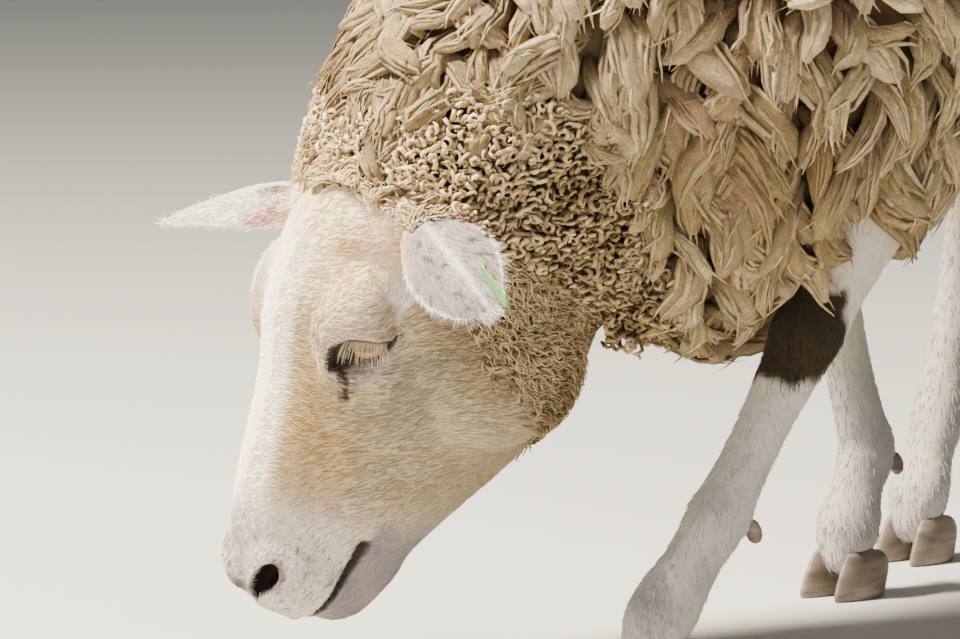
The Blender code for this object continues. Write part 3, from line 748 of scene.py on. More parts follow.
def lidRings(spots, angle, level):
    radius = eyeShape["radius"]
    upper = ramp(-0.30, 0.30, np.sin(angle))
    rim = closedRim(lidShape["margin"])
    wayX, wayY = np.cos(angle), np.sin(angle)

    def onBall(x, y, over):
        corner = np.interp(x, (-0.012, 0.012), lidShape["corners"])
        return np.sqrt(np.maximum((radius + over) ** 2 - x**2 - y**2, corner**2))

    rings = []
    for e in np.linspace(0.10, 1.0, lidShape["rings"]):
        near = 1 - (1 - e) ** 1.35
        edge = rim(angle) + 0.0012
        x = spots[:, 0] * (1 - near) + wayX * edge * near
        y = spots[:, 1] * (1 - near) + wayY * edge * near
        skin = np.array([level(p, q) for p, q in zip(x, y)])
        lid = np.minimum(onBall(x, y, lidShape["thickness"]), skin)
        sink = upper * ramp(0.56, 1.0, near) ** 0.9 + (1 - upper) * ramp(0.40, 1.0, near)
        z = skin * (1 - sink) + lid * sink
        front = np.sqrt(np.clip(radius**2 - x**2 - y**2, 0, None))  # of the eyeball
        z = np.where(front > 0, np.maximum(z, front + 0.8 * lidShape["thickness"]), z)
        z += upper * lidShape["brow"] * np.exp(-(((near - 0.84) / 0.11) ** 2))
        z -= upper * lidShape["upperFold"] * np.exp(-(((near - 0.62) / 0.05) ** 2))
        z -= upper * 0.35 * lidShape["upperFold"] * np.exp(-(((near - 0.42) / 0.05) ** 2))
        for at in (0.45, 0.66):
            z -= (1 - upper) * lidShape["lowerFold"] * np.exp(-(((near - at) / 0.045) ** 2))
        rings.append(np.column_stack([x, y, z]))
    # over the rim and down between lid and eyeball, but along the ball at the tear duct
    inner = ramp(-0.006, -0.014, wayX * rim(angle))
    for shrink, over in ((-0.03, 0.0023), (0.0, 0.0012), (0.09, 0.0008), (0.18, 0.0005), (0.28, 0.0)):
        away = rim(angle) * (1 - shrink * np.where(shrink > 0, inner, 1))
        x, y = wayX * away, wayY * away
        rings.append(np.column_stack([x, y, onBall(x, y, over) - 0.002 * (1 - inner) * (over < 0.001)]))
    for back, z in ((1.02, 0.0035), (1.06, -0.001), (0.95, -0.008), (0.5, -0.0155)):
        away = back * np.minimum(rim(angle), radius)
        away = np.maximum(away, 0.6 * back * radius)
        rings.append(np.column_stack([wayX * away, wayY * away, np.full(len(angle), z)]))
    return rings, (0, 0, -0.0185)


nostrilShape = {
    "centre": (0.0240, 0.2665, -0.0160),
    "look": (0.56, 0.50, 0.66),
    "slit": (0.773, -0.634, 0.0),  # from the inner tip to the round outer end
    "outer": (0.0235, 0.0150),
    "margin": (
        (0.0160, 0.0006),
        (0.0138, 0.0052),
        (0.0085, 0.0074),
        (0.0018, 0.0066),
        (-0.0050, 0.0044),
        (-0.0108, 0.0026),
        (-0.0156, 0.0002),
        (-0.0172, -0.0036),
        (-0.0158, -0.0068),
        (-0.0118, -0.0058),
        (-0.0066, -0.0048),
        (-0.0008, -0.0056),
        (0.0062, -0.0066),
        (0.0122, -0.0050),
    ),
    "rings": 11,
    "rim": 0.0016,
}


def nostrilRings(spots, angle, level):
    rim = closedRim(nostrilShape["margin"])
    wayX, wayY = np.cos(angle), np.sin(angle)
    edge = rim(angle) + 0.0010
    rings = []
    for near in np.linspace(0.14, 1.0, nostrilShape["rings"]):
        x = spots[:, 0] * (1 - near) + wayX * edge * near
        y = spots[:, 1] * (1 - near) + wayY * edge * near
        z = np.array([level(p, q) for p, q in zip(x, y)])
        z += nostrilShape["rim"] * np.exp(-(((near - 0.80) / 0.17) ** 2)) - 0.0010 * ramp(0.88, 1.0, near)
        rings.append(np.column_stack([x, y, z]))
    rimZ = rings[-1][:, 2]
    for scale, drop in ((0.96, 0.0014), (0.92, 0.0038), (0.84, 0.0080), (0.62, 0.0135)):
        away = rim(angle) * scale
        flat = ramp(0.0, 0.0135, drop)
        z = rimZ * (1 - flat) + rimZ.mean() * flat - drop
        rings.append(np.column_stack([wayX * away, wayY * away, z]))
    return rings, (0.002, 0, rimZ.mean() - 0.0170)


mouthShape = {
    # noseward, level between the lips, half width and depth of the gap
    "rows": (
        (0.2260, -0.0715, 0.0016, 0.0000),
        (0.2300, -0.0702, 0.0040, 0.0090),
        (0.2420, -0.0668, 0.0034, 0.0100),
        (0.2620, -0.0600, 0.0026, 0.0080),
        (0.2800, -0.0545, 0.0022, 0.0060),
        (0.3100, -0.0450, 0.0020, 0.0060),
    ),
    "underbite": 0.0030,  # how far the lower lip is set back from the upper one
}
tearLine = (
    (0.0655, 0.1080, -0.0030),
    (0.0665, 0.1180, -0.0095),
    (0.0600, 0.1290, -0.0180),
    (0.0500, 0.1390, -0.0260),
)


def fromLips(h):
    # height over the line between the lips
    rows = np.array(mouthShape["rows"])
    return h[:, 2] - np.interp(h[:, 1], rows[:, 0], rows[:, 1])


def lipGap(h):
    # half width and depth of the gap between the lips
    rows = np.array(mouthShape["rows"])
    return [np.interp(h[:, 1], rows[:, 0], rows[:, k]) for k in (2, 3)]


def partLips(mesh):
    points, normals = pointsOf(mesh), normalsOf(mesh)
    h = toHead(points)
    rows = np.array(mouthShape["rows"])
    over = fromLips(h)
    half, depth = lipGap(h)
    ahead = ramp(rows[0, 0] - 0.001, rows[1, 0] + 0.001, h[:, 1]) * (np.abs(h[:, 0]) < 0.07)
    gap = np.exp(-np.abs(over / half) ** 2.4) * depth
    lower = mouthShape["underbite"] * ramp(0.001, -0.004, over) * ramp(-0.034, -0.008, over)
    lip = 0.0012 * np.exp(-(((over - 2.0 * half) / (1.1 * half)) ** 2))
    lip += 0.0009 * np.exp(-(((over + 2.2 * half) / (1.1 * half)) ** 2))
    points -= normals * ((gap + lower - lip) * ahead)[:, None]
    movePoints(mesh, points)
    relax(mesh, 7, ahead * ramp(0.014, 0.008, np.abs(over)))


def inOpening(points, side, shape):
    # places on the plane of an opening, and their share of the way out to its rim
    spots = moved(points, openingFrame(side, shape).inverted())
    angle = np.arctan2(spots[:, 1], spots[:, 0])
    away = np.hypot(spots[:, 0], spots[:, 1]) / closedRim(shape["margin"])(angle)
    return spots, np.where(np.abs(spots[:, 2]) < 0.032, away, 9.0)


def fromStroke(h, line):
    # distance of places on the left half of the head from a line through points
    line = np.array(line)
    away = np.full(len(h), 9.0)
    for low, high in zip(line, line[1:]):
        t = np.clip((h - low) @ (high - low) / ((high - low) @ (high - low)), 0, 1)
        away = np.minimum(away, np.linalg.norm(h - low - t[:, None] * (high - low), axis=1))
    return away


def settleBorders(mesh):
    # evens the skin where the lids and nostrils were joined to it, and presses in the tear grooves
    points = pointsOf(mesh)
    border = np.zeros(len(points))
    for side in bothSides:
        for shape, (wide, high) in ((eyeOpening, lidShape["outer"]), (nostrilShape, nostrilShape["outer"])):
            spots, away = inOpening(points, side, shape)
            share = np.hypot(spots[:, 0] / wide, spots[:, 1] / high)
            near = (np.abs(spots[:, 2]) < 0.03) & (away > 1.25)
            border = np.maximum(border, np.exp(-(((share - 1) / 0.16) ** 2)) * near)
    relax(mesh, 6, border)
    points, normals = pointsOf(mesh), normalsOf(mesh)
    groove = np.exp(-((fromStroke(toHalfHead(points), tearLine) / 0.0032) ** 2))
    points -= normals * 0.0016 * groove[:, None]
    movePoints(mesh, points)


def buildSkin():
    form = bodyForm()
    points = pointsOf(form.data)
    hairy = np.maximum(onHead(points), onLegs(points))
    relax(form.data, skinFineness["hairRounds"], 1.0)
    relax(form.data, skinFineness["woolRounds"], 1 - hairy)
    for side in bothSides:
        cut(form, earLeaf(side), "UNION")
    print("body form with ears:", len(form.data.polygons), "faces")
    bm = bmesh.new()
    bm.from_mesh(form.data)
    refine(bm, hairRegion)
    refine(bm, fineRegion)
    refine(bm, lipRegion)
    bm.to_mesh(form.data)
    bm.free()
    points = pointsOf(form.data)
    joint = np.zeros(len(points))
    for side in bothSides:
        root = np.array(earFrame(side) @ Vector((0, 0.016, 0.0)))
        joint = np.maximum(joint, ramp(0.030, 0.020, np.linalg.norm(points - root, axis=1)))
    leaf = onEar(points)
    relax(form.data, 3, onHead(points) * (1 - leaf))
    relax(form.data, 6, joint, back=0.0)
    partLips(form.data)
    print("refined and lips parted:", len(form.data.polygons), "faces")
    bm = bmesh.new()
    bm.from_mesh(form.data)
    tree = BVHTree.FromBMesh(bm)
    for side in bothSides:
        openPatch(bm, tree, openingFrame(side, eyeShape), lidShape["outer"], lidRings)
        openPatch(bm, tree, openingFrame(side, nostrilShape), nostrilShape["outer"], nostrilRings)
    bmesh.ops.recalc_face_normals(bm, faces=bm.faces)
    bm.to_mesh(form.data)
    bm.free()
    settleBorders(form.data)
    form.data.shade_smooth()
    form.name = "skin"
    print("skin:", len(form.data.polygons), "faces")
    return form


# The finished skin, as arrays for growing the coat on it

def surfaceOf(form, nodes):
    mesh = form.data
    mesh.calc_loop_triangles()
    triangles = np.empty(len(mesh.loop_triangles) * 3, np.int32)
    mesh.loop_triangles.foreach_get("vertices", triangles)
    triangles = triangles.reshape(-1, 3)
    points = pointsOf(mesh)
    normals = normalsOf(mesh)
    corners = points[triangles]
    spans = np.cross(corners[:, 1] - corners[:, 0], corners[:, 2] - corners[:, 0])
    outer, faces = [], []
    for node in nodes:
        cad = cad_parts[node].data
        faces += [[v + len(outer) for v in f.vertices] for f in cad.polygons]
        outer += [v.co[:] for v in cad.vertices]
    return {
        "points": points,
        "normals": normals,
        "triangles": triangles,
        "middles": corners.mean(axis=1),
        "areas": 0.5 * np.linalg.norm(spans, axis=1),
        "facing": unit(normals[triangles].mean(axis=1)),
        "tree": BVHTree.FromPolygons(points.tolist(), triangles.tolist()),
        "outline": BVHTree.FromPolygons(outer, faces),
    }


def nearest(skin, points):
    places = np.empty_like(points)
    index = np.empty(len(points), np.int64)
    find = skin["tree"].find_nearest
    for k, point in enumerate(points.tolist()):
        hit = find(point)
        places[k] = hit[0]
        index[k] = hit[2]
    return places, skin["facing"][index]


def coatDepth(skin, points, normals, least, most):
    # room between the skin and the outline of the coat
    depth = np.full(len(points), least)
    cast = skin["outline"].ray_cast
    for k, (point, way) in enumerate(zip(points.tolist(), normals.tolist())):
        hit = cast(point, way, most)
        if hit[0] is not None:
            depth[k] = hit[3]
    return np.clip(depth, least, most)


def scatter(skin, weights, count, seed):
    rng = np.random.default_rng(seed)
    chance = skin["areas"] * weights
    face = rng.choice(len(chance), count, p=chance / chance.sum())
    share = rng.random((count, 2))
    share = np.where(share.sum(axis=1, keepdims=True) > 1, 1 - share, share)
    share = np.column_stack([1 - share.sum(axis=1), share])[:, :, None]
    corners = skin["triangles"][face]
    points = (skin["points"][corners] * share).sum(axis=1)
    return points, unit((skin["normals"][corners] * share).sum(axis=1))


def thin(points, spacing):
    # keeps a point only where none kept before it is nearer than its spacing
    tree = KDTree(len(points))
    for k, point in enumerate(points.tolist()):
        tree.insert(point, k)
    tree.balance()
    gone = np.zeros(len(points), bool)
    keep = []
    for k, point in enumerate(points.tolist()):
        if not gone[k]:
            keep.append(k)
            for found in tree.find_range(point, float(spacing[k])):
                gone[found[1]] = True
    return np.array(keep)


def track(skin, roots, normals, lie, lengths, rings, spread):
    # rows of points on the skin, from each root along the lie of the coat
    places, facing = [roots], [normals]
    for _ in range(1, rings):
        way = alongSurface(lie(places[-1], facing[-1]), facing[-1])
        way = unit(way + np.cross(facing[-1], way) * spread[:, None])
        place, normal = nearest(skin, places[-1] + way * (lengths / (rings - 1))[:, None])
        places.append(place)
        facing.append(unit(normal + facing[-1]))
    return np.stack(places, axis=1), np.stack(facing, axis=1)


def unwrap(points):
    # place of each root on a flat map of the body
    h = toHead(points)
    body = np.column_stack([
        0.03 + 0.94 * np.clip((points[:, 1] + 0.60) / 1.20, 0, 1),
        0.75 + 0.22 * np.arctan2(points[:, 0] - 0.02, points[:, 2] - 0.50) / math.pi,
    ])
    face = np.column_stack([
        0.03 + 0.40 * np.clip((h[:, 1] + 0.05) / 0.36, 0, 1),
        0.38 + 0.11 * np.arctan2(h[:, 0], h[:, 2] + 0.08) / math.pi,
    ])
    spot = np.where(onHead(points)[:, None] > 0.5, face, body)
    for k, joints in enumerate(legJoints.values()):
        foot = np.array(bent(joints[-1]))
        near = (onLegs(points) > 0.5) & (np.hypot(*(points - foot)[:, :2].T) < 0.16)
        limb = np.column_stack([
            0.50 + 0.12 * k + 0.05 * np.arctan2(points[:, 0] - foot[0], points[:, 1] - foot[1]) / math.pi,
            0.27 + 0.20 * np.clip(points[:, 2] / 0.45, 0, 1),
        ])
        spot = np.where(near[:, None], limb, spot)
    for k, side in enumerate(bothSides):
        ear = inEar(points, side)
        near = besideEar(ear) & (ear[:, 1] > 0.018)
        leaf = np.column_stack([0.10 + 0.22 * k + ear[:, 0] * 1.6, 0.03 + ear[:, 1] * 1.5])
        spot = np.where(near[:, None], leaf, spot)
    return spot


# Strands: closed tapering tubes, all of one kind made together

def tubes(centres, ups, widths, thicks, sides, lumps=None):
    count, rings = widths.shape
    along = unit(np.gradient(centres, axis=1).reshape(-1, 3)).reshape(centres.shape)
    across = unit(np.cross(along, ups).reshape(-1, 3)).reshape(centres.shape)
    rise = np.cross(across, along)
    angle = 2 * np.pi * np.arange(sides) / sides
    c = np.broadcast_to(np.cos(angle), (count, 1, sides))
    s = np.broadcast_to(np.sin(angle), (count, 1, sides))
    if lumps is not None:
        c = c * lumps
        s = s * lumps
    x = widths[:, :, None] * c
    z = thicks[:, :, None] * s
    ring = centres[:, :, None] + across[:, :, None] * x[..., None] + rise[:, :, None] * z[..., None]
    run = np.cumsum(np.linalg.norm(np.diff(centres, axis=1, prepend=centres[:, :1]), axis=2), axis=1)
    local = np.stack([x, z, np.broadcast_to(run[:, :, None], x.shape)], axis=-1)
    points = np.concatenate([centres[:, :1], ring.reshape(count, -1, 3), centres[:, -1:]], axis=1)
    ends = np.zeros((count, 1, 3))
    local = np.concatenate([ends, local.reshape(count, -1, 3), ends + run[:, -1:, None] * (0, 0, 1)], axis=1)
    share = np.repeat(np.linspace(0, 1, rings), sides)
    share = np.concatenate([[0.0], share, [1.0]])
    return {"points": points, "local": local, "share": share, "sides": sides, "rings": rings}


def spikes(roots, normals, ways, lengths, widths, rise):
    # short hairs, each a thin closed spike
    across = unit(np.cross(ways, normals)) * widths[:, None] / 2
    zero = np.zeros(len(roots))
    tips = roots + ways * lengths[:, None] + normals * (rise * lengths)[:, None]
    ridge = roots + ways * 0.2 * lengths[:, None] + normals * (0.3 * widths + 0.2 * rise * lengths)[:, None]
    base = roots - normals * 0.0004
    points = np.stack([base - across, base + across, ridge, tips], axis=1)
    local = np.array([
        [-widths / 2, zero, zero],
        [widths / 2, zero, zero],
        [zero, widths / 2, 0.2 * lengths],
        [zero, zero, lengths],
    ]).transpose(2, 0, 1)
    share = np.array((0.0, 0.0, 0.2, 1.0))
    return {"points": points, "local": local, "share": share, "sides": 3, "rings": 0}


def tubeFaces(sides, rings):
    # corner numbers of one strand's triangles, and each corner's place round the strand
    if rings == 0:
        faces = ((0, 2, 3), (1, 3, 2), (0, 3, 1), (0, 1, 2))
        places = np.array((0.0, 1.0, 0.5, 0.5))
        return np.array(faces), places[np.array(faces)]
    faces, rounds = [], []
    last = sides * rings + 1
    for k in range(sides):
        n = (k + 1) % sides
        faces.append((0, 1 + n, 1 + k))
        rounds.append((k + 0.5, k + 1, k))
        for r in range(rings - 1):
            a, b = 1 + r * sides + k, 1 + r * sides + n
            faces += [(a, b, b + sides), (a, b + sides, a + sides)]
            rounds += [(k, k + 1, k + 1), (k, k + 1, k)]
        faces.append((1 + (rings - 1) * sides + k, 1 + (rings - 1) * sides + n, last))
        rounds.append((k, k + 1, k + 0.5))
    return np.array(faces), np.array(rounds) / sides


def colourPoints(mesh, tint):
    tint = np.column_stack([tint, np.ones(len(tint))]).astype(np.float32)
    mesh.attributes.new("coat", "FLOAT_COLOR", "POINT").data.foreach_set("color", tint.ravel())


def placePoints(mesh, places):
    places = places.astype(np.float32)
    mesh.attributes.new("strand", "FLOAT_VECTOR", "POINT").data.foreach_set("vector", places.ravel())


def strandPiece(name, sets):
    # sets: (tubes, colours per point, roots) of each kind of strand in this piece
    points, colours, places, faces, maps, rounded = [], [], [], [], [], []
    start = 0
    for kind, tint, roots in sets:
        count, each = kind["points"].shape[:2]
        pattern, rounds = tubeFaces(kind["sides"], kind["rings"])
        faces.append((pattern[None] + start + each * np.arange(count)[:, None, None]).reshape(-1, 3))
        spot = np.stack([rounds - 0.5, kind["share"][pattern] - 0.5], axis=-1) * 0.003
        maps.append((unwrap(roots)[:, None, None] + spot[None]).reshape(-1, 2))
        number = np.arange(count)[:, None, None] * (0.0, 0.37, 0.0)
        rounded.append(np.full(count * len(pattern), kind["rings"] > 0))
        points.append(kind["points"].reshape(-1, 3))
        places.append((kind["local"] + number).reshape(-1, 3))
        colours.append(tint.reshape(-1, 3))
        start += count * each
    joined = [np.concatenate(rows).astype(np.float32) for rows in (points, colours, places, maps)]
    points, colours, places, maps = joined
    faces = np.concatenate(faces).astype(np.int32)
    mesh = bpy.data.meshes.new(name)
    mesh.vertices.add(len(points))
    mesh.vertices.foreach_set("co", points.ravel())
    mesh.loops.add(faces.size)
    mesh.loops.foreach_set("vertex_index", faces.ravel())
    mesh.polygons.add(len(faces))
    mesh.polygons.foreach_set("loop_start", np.arange(0, faces.size, 3, dtype=np.int32))
    mesh.update(calc_edges=True)
    mesh.uv_layers.new(name="OFBake").data.foreach_set("uv", maps.ravel())
    colourPoints(mesh, colours)
    placePoints(mesh, places)
    mesh.polygons.foreach_set("use_smooth", np.concatenate(rounded))
    made = newObject(name, mesh)
    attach(made, "root")
    return made


# Zones of the coat

def woolEdge(h):
    # noseward place where the tight curls of the neck turn into long locks
    return -0.072 + 0.067 * np.minimum(((h[:, 2] + 0.09) / 0.1) ** 2, 4)


def longWool(points):
    h = toHead(points)
    edge = woolEdge(h)
    return ramp(edge + 0.006, edge - 0.006, h[:, 1]) * (1 - onHead(points)) * (1 - onLegs(points))


def curlWool(points):
    return np.clip(1 - longWool(points) - onHead(points) - onLegs(points), 0, 1)


def cheekWool(points):
    h = toHead(points)
    edge = 0.006 + 0.85 * (-h[:, 2] - 0.015)
    near = (h[:, 2] > -0.19) & (np.abs(h[:, 0]) < 0.095) & (h[:, 1] < 0.16)
    share = ramp(edge + 0.018, edge - 0.014, h[:, 1]) * ramp(0.0, -0.020, h[:, 2]) * near
    return share * onHead(points) * (1 - onEar(points)) * (1 - onLegs(points))


def pollWool(points):
    h = toHead(points)
    behind = ramp(0.016, 0.000, h[:, 1] + 0.10 * np.maximum(h[:, 0], 0))
    return behind * onHead(points) * (1 - onEar(points)) * ramp(-0.045, -0.030, h[:, 2])


def bare(points):
    # eyes, insides of the lids and nostrils, and the gap between the lips
    h = toHead(points)
    share = np.zeros(len(points))
    for side in bothSides:
        share = np.maximum(share, ramp(1.16, 1.08, inOpening(points, side, eyeOpening)[1]))
        share = np.maximum(share, ramp(1.12, 1.04, inOpening(points, side, nostrilShape)[1]))
    corner = mouthShape["rows"][0][0]
    gap = (np.abs(fromLips(h)) < 1.1 * lipGap(h)[0]) & (h[:, 1] > corner) & (np.abs(h[:, 0]) < 0.07)
    return np.maximum(share, gap * onHead(points))


# Markings and painted shade: one set of colours for the skin and for the coat that grows on it

markings = {
    "cream": (0.84, 0.68, 0.47),
    "bridge": (0.93, 0.85, 0.70),
    # side: the face's own beige-olive, made darker to carry part of the shade on cheek and jaw as painted
    # shade
    "side": (0.49, 0.385, 0.245),
    # rear cheek: its own brown, made darker as painted shade
    "rearCheekBrownAndShade": (0.22, 0.16, 0.09),
    "muzzle": (0.75, 0.635, 0.56),
    "chin": (0.27, 0.23, 0.235),
    "tan": (0.58, 0.38, 0.16),
    "pink": (0.66, 0.40, 0.32),
    "lilac": (0.33, 0.28, 0.28),
    # grey-green painted shade for the hollow of the cheek below the eye
    "paintedCheekShade": (0.25, 0.235, 0.18),
    "dark": (0.045, 0.032, 0.028),
    "earBack": (0.36, 0.295, 0.285),
    "earInside": (0.58, 0.37, 0.31),
    "earRim": (0.90, 0.86, 0.80),
    "leg": (0.62, 0.55, 0.475),
    "fetlock": (0.36, 0.35, 0.355),
    "legPatch": (0.030, 0.019, 0.011),
    "patchCentre": (0.098, -0.155, 0.222),
    "patchReach": (0.060, 0.036, 0.034),
    # skin under the fleece: near-black brown, painted shade for the gaps between the locks
    "woolGapShade": (0.12, 0.078, 0.038),
    "nostril": (0.016, 0.012, 0.012),
}


# dark line that runs back from the outer corner of the eye
eyeCorner = ((0.0765, 0.0930, -0.0425), (0.0735, 0.0820, -0.0470), (0.0710, 0.0700, -0.0440))


def spotAt(h, centre, radii, edge=0.6):
    away = np.linalg.norm((h - np.array(centre)) / np.array(radii), axis=1)
    return ramp(1 + edge / 2, 1 - edge / 2, away)


def blend(tint, colour, share):
    return mixed(tint, markings[colour], np.clip(share, 0, 1))


def headTint(points, h):
    left, nose, top = h.T  # left counts to both sides from the middle
    mottle = ripples(points, 0.030, 31)
    fine = ripples(points, 0.0085, 32)
    ring = np.linalg.norm(h - np.array(eyeShape["centre"]) - (0.010, 0.006, 0.006), axis=1)
    speck = ramp(0.34, 0.62, ripples(points, 0.0052, 33, 12)) * ramp(0.215, 0.245, nose)
    rear = ramp(0.145, 0.060, nose + 0.35 * (top + 0.10)) * ramp(-0.045, -0.085, top)
    bridge = ramp(0.026, 0.016, left) * ramp(-0.020, 0.0, top) * ramp(0.035, 0.065, nose)
    tanSpot = spotAt(h, (0.034, 0.148, -0.004), (0.0135, 0.042, 0.022), 1.1)
    # painted shade in the hollow of the cheek
    paintedShadeSpot = spotAt(h, (0.058, 0.124, -0.068), (0.03, 0.026, 0.024), 1.1)
    chin = ramp(0.002, -0.006, fromLips(h)) * ramp(0.205, 0.228, nose)
    tear = fromStroke(h[:, 1:], np.array(tearLine)[:, 1:]) + 0.0008 * fine
    layers = (
        ("cream", ramp(0.105, 0.055, nose) * ramp(-0.055, -0.015, top)),
        ("cream", 0.6 * spotAt(h, (0.055, 0.075, -0.004), (0.03, 0.022, 0.02), 1.0)),
        # brown of the rear cheek, darkened further as painted shade
        ("rearCheekBrownAndShade", rear),
        ("bridge", bridge),
        ("tan", (0.66 + 0.25 * mottle) * tanSpot),
        ("tan", 0.45 * spotAt(h, (0.038, 0.185, -0.020), (0.016, 0.034, 0.024), 1.2)),
        ("pink", 0.55 * spotAt(h, (0.060, 0.030, -0.016), (0.018, 0.019, 0.018), 1.0)),
        ("tan", 0.75 * spotAt(h, (0.044, 0.046, -0.001), (0.014, 0.006, 0.009), 0.9)),
        ("lilac", (0.55 + 0.25 * fine) * ramp(0.034, 0.022, ring) * ramp(0.100, 0.112, nose)),
        ("lilac", (0.28 + 0.25 * fine) * ramp(0.036, 0.026, ring)),
        # grey-green painted shade in the cheek hollow
        ("paintedCheekShade", (0.46 + 0.2 * mottle) * paintedShadeSpot),
        ("muzzle", ramp(0.195, 0.235, nose)),
        ("dark", 0.72 * speck * ramp(-0.085, -0.060, top)),
        ("lilac", (0.25 + 0.2 * mottle) * ramp(0.225, 0.250, nose)),
        ("chin", (0.85 + 0.1 * mottle) * chin),
        # the darkened face colour again low on the jaw, partly painted shade
        ("side", 0.5 * ramp(-0.125, -0.150, top)),
        ("dark", 0.55 * np.exp(-((fromStroke(h, eyeCorner) / 0.0042) ** 2))),
        ("dark", 0.97 * ramp(0.0040, 0.0016, tear) * (left > 0.03)),
    )
    tint = np.tile(markings["side"], (len(points), 1))
    for colour, share in layers:
        tint = blend(tint, colour, share)
    return tint


def coatTint(points):
    h = toHalfHead(points)
    tint = headTint(points, h)
    # the skin under the fleece is painted dark as the shade in the gaps between the locks
    body = 1 - np.maximum(onHead(points), onLegs(points))
    tint = blend(tint, "woolGapShade", body)
    # legs, greyer low down, with the brown patch on the left front one
    low = ramp(0.26, 0.10, points[:, 2]) * (0.65 + 0.25 * ripples(points, 0.05, 34))
    legs = blend(np.tile(markings["leg"], (len(points), 1)), "fetlock", low)
    away = (points - np.array(shift) - np.array(markings["patchCentre"])) / np.array(markings["patchReach"])
    patch = ramp(1.12, 0.90, np.linalg.norm(away, axis=1) + 0.16 * ripples(points, 0.022, 35))
    legs = blend(legs, "legPatch", patch)
    tint = mixed(tint, legs, onLegs(points))
    # ears
    for side in bothSides:
        spots, t, wide = alongEar(points, side)
        rim = np.abs(spots[:, 0]) / np.maximum(wide * 0.985, 0.001)
        level = wide * 0.25 - earShape["droop"] * t**2 - wide * 0.42 * rim**2
        inside = ramp(-0.0012, -0.0032, spots[:, 2] - level)
        leaf = np.tile(markings["earBack"], (len(points), 1))
        mottle = ripples(points, 0.016, 36)
        if side == "right":
            leaf = leaf * 0.25 + 0.75 * np.array(markings["earRim"])
            streak = spotAt(spots, (-0.004, 0.034, 0.004), (0.005, 0.014, 0.02), 0.8)
            leaf = blend(leaf, "dark", 0.8 * streak * (0.8 + 0.5 * mottle))
        else:
            leaf = leaf * (1 + 0.13 * mottle[:, None])
            dots = ramp(0.30, 0.60, ripples(points, 0.0085, 37, 12))
            leaf = blend(leaf, "dark", 0.75 * dots * ramp(0.020, 0.035, spots[:, 1]))
            across = spots[:, 0] / wide
            crest = np.exp(-(((across + 0.12) / 0.11) ** 2))
            leaf = blend(leaf, "earRim", 0.75 * crest * ramp(0.1, 0.5, t))
            leaf = blend(leaf, "fetlock", 0.6 * np.exp(-(((across + 0.42) / 0.14) ** 2)))
        leaf = blend(leaf, "earInside", inside)
        leaf = blend(leaf, "earRim", ramp(0.90, 0.98, rim) * 0.95)
        leaf = blend(leaf, "earRim", ramp(0.95, 1.0, t))
        tint = mixed(tint, leaf, ramp(0.020, 0.036, spots[:, 1]) * besideEar(spots))
    # dark lids, nostrils and lips
    for side in bothSides:
        spots, away = inOpening(points, side, eyeOpening)
        lid = np.where(spots[:, 1] > 0.002, ramp(1.18, 1.06, away), ramp(1.42, 1.14, away))
        lid = np.maximum(lid, ramp(1.62, 1.35, away) * ramp(-0.006, -0.010, spots[:, 0]))
        tint = blend(tint, "dark", 0.96 * lid * onHead(points))
        spots, away = inOpening(points, side, nostrilShape)
        tint = blend(tint, "dark", 0.75 * ramp(1.55, 1.08, away) * onHead(points))
        tint = np.where((away < 1.0)[:, None], np.array(markings["nostril"]), tint)
    lips = ramp(2.2, 1.0, np.abs(fromLips(h)) / lipGap(h)[0]) * ramp(0.224, 0.230, h[:, 1])
    return blend(tint, "dark", 0.95 * (lips * (h[:, 0] < 0.07)) * onHead(points))


# Short hair of face, ears and legs

shortHair = {
    "width": 0.00080,
    "rise": 0.085,
    "stray": 0.24,
    "face": {"count": 37000, "seed": 71, "length": (0.0078, 0.0042), "slender": 1.0, "rise": 1.0},
    "leg": {"count": 12500, "seed": 72, "length": 0.0080, "slender": 1.15, "rise": 1.0},
    "ear": {"count": 8600, "seed": 73, "length": 0.0060, "slender": 0.8, "rise": 1.0},
    "rim": {"count": 1500, "seed": 74, "length": 0.0085, "slender": 0.7, "rise": 1.2},
}


def hairLie(points, normals):
    h = toHead(points)
    muzzle = ramp(0.205, 0.255, h[:, 1])
    flow = np.column_stack([
        0.55 * np.sign(h[:, 0]) * ramp(-0.03, 0.01, h[:, 2]) * (1 - muzzle),
        -0.42 - 0.75 * muzzle,
        -0.85 * (1 - 0.75 * muzzle),
    ])
    flow += 0.22 * np.column_stack([ripples(points, 0.07, 41 + k) for k in range(3)])
    ways = unit((flow * (1, -1, 1)) @ headTurn.T)
    legs = onLegs(points)[:, None]
    ways = ways * (1 - legs) + legs * np.array((0.0, 0.18, -1.0))
    for side in bothSides:
        spots = inEar(points, side)
        place = np.array(earFrame(side))
        near = besideEar(spots) & (spots[:, 1] > 0.022)
        along = place[:3, 1] + place[:3, 0] * (spots[:, :1] / 0.028) * 0.55
        ways = np.where(near[:, None], along, ways)
    return alongSurface(ways, normals)


def earRim(points):
    # edges and tips of the ears
    share = np.zeros(len(points))
    for side in bothSides:
        spots, t, wide = alongEar(points, side)
        edge = ramp(0.84, 0.95, np.abs(spots[:, 0]) / wide)
        share = np.maximum(share, besideEar(spots) * np.maximum(edge, ramp(0.94, 0.99, t)))
    return share


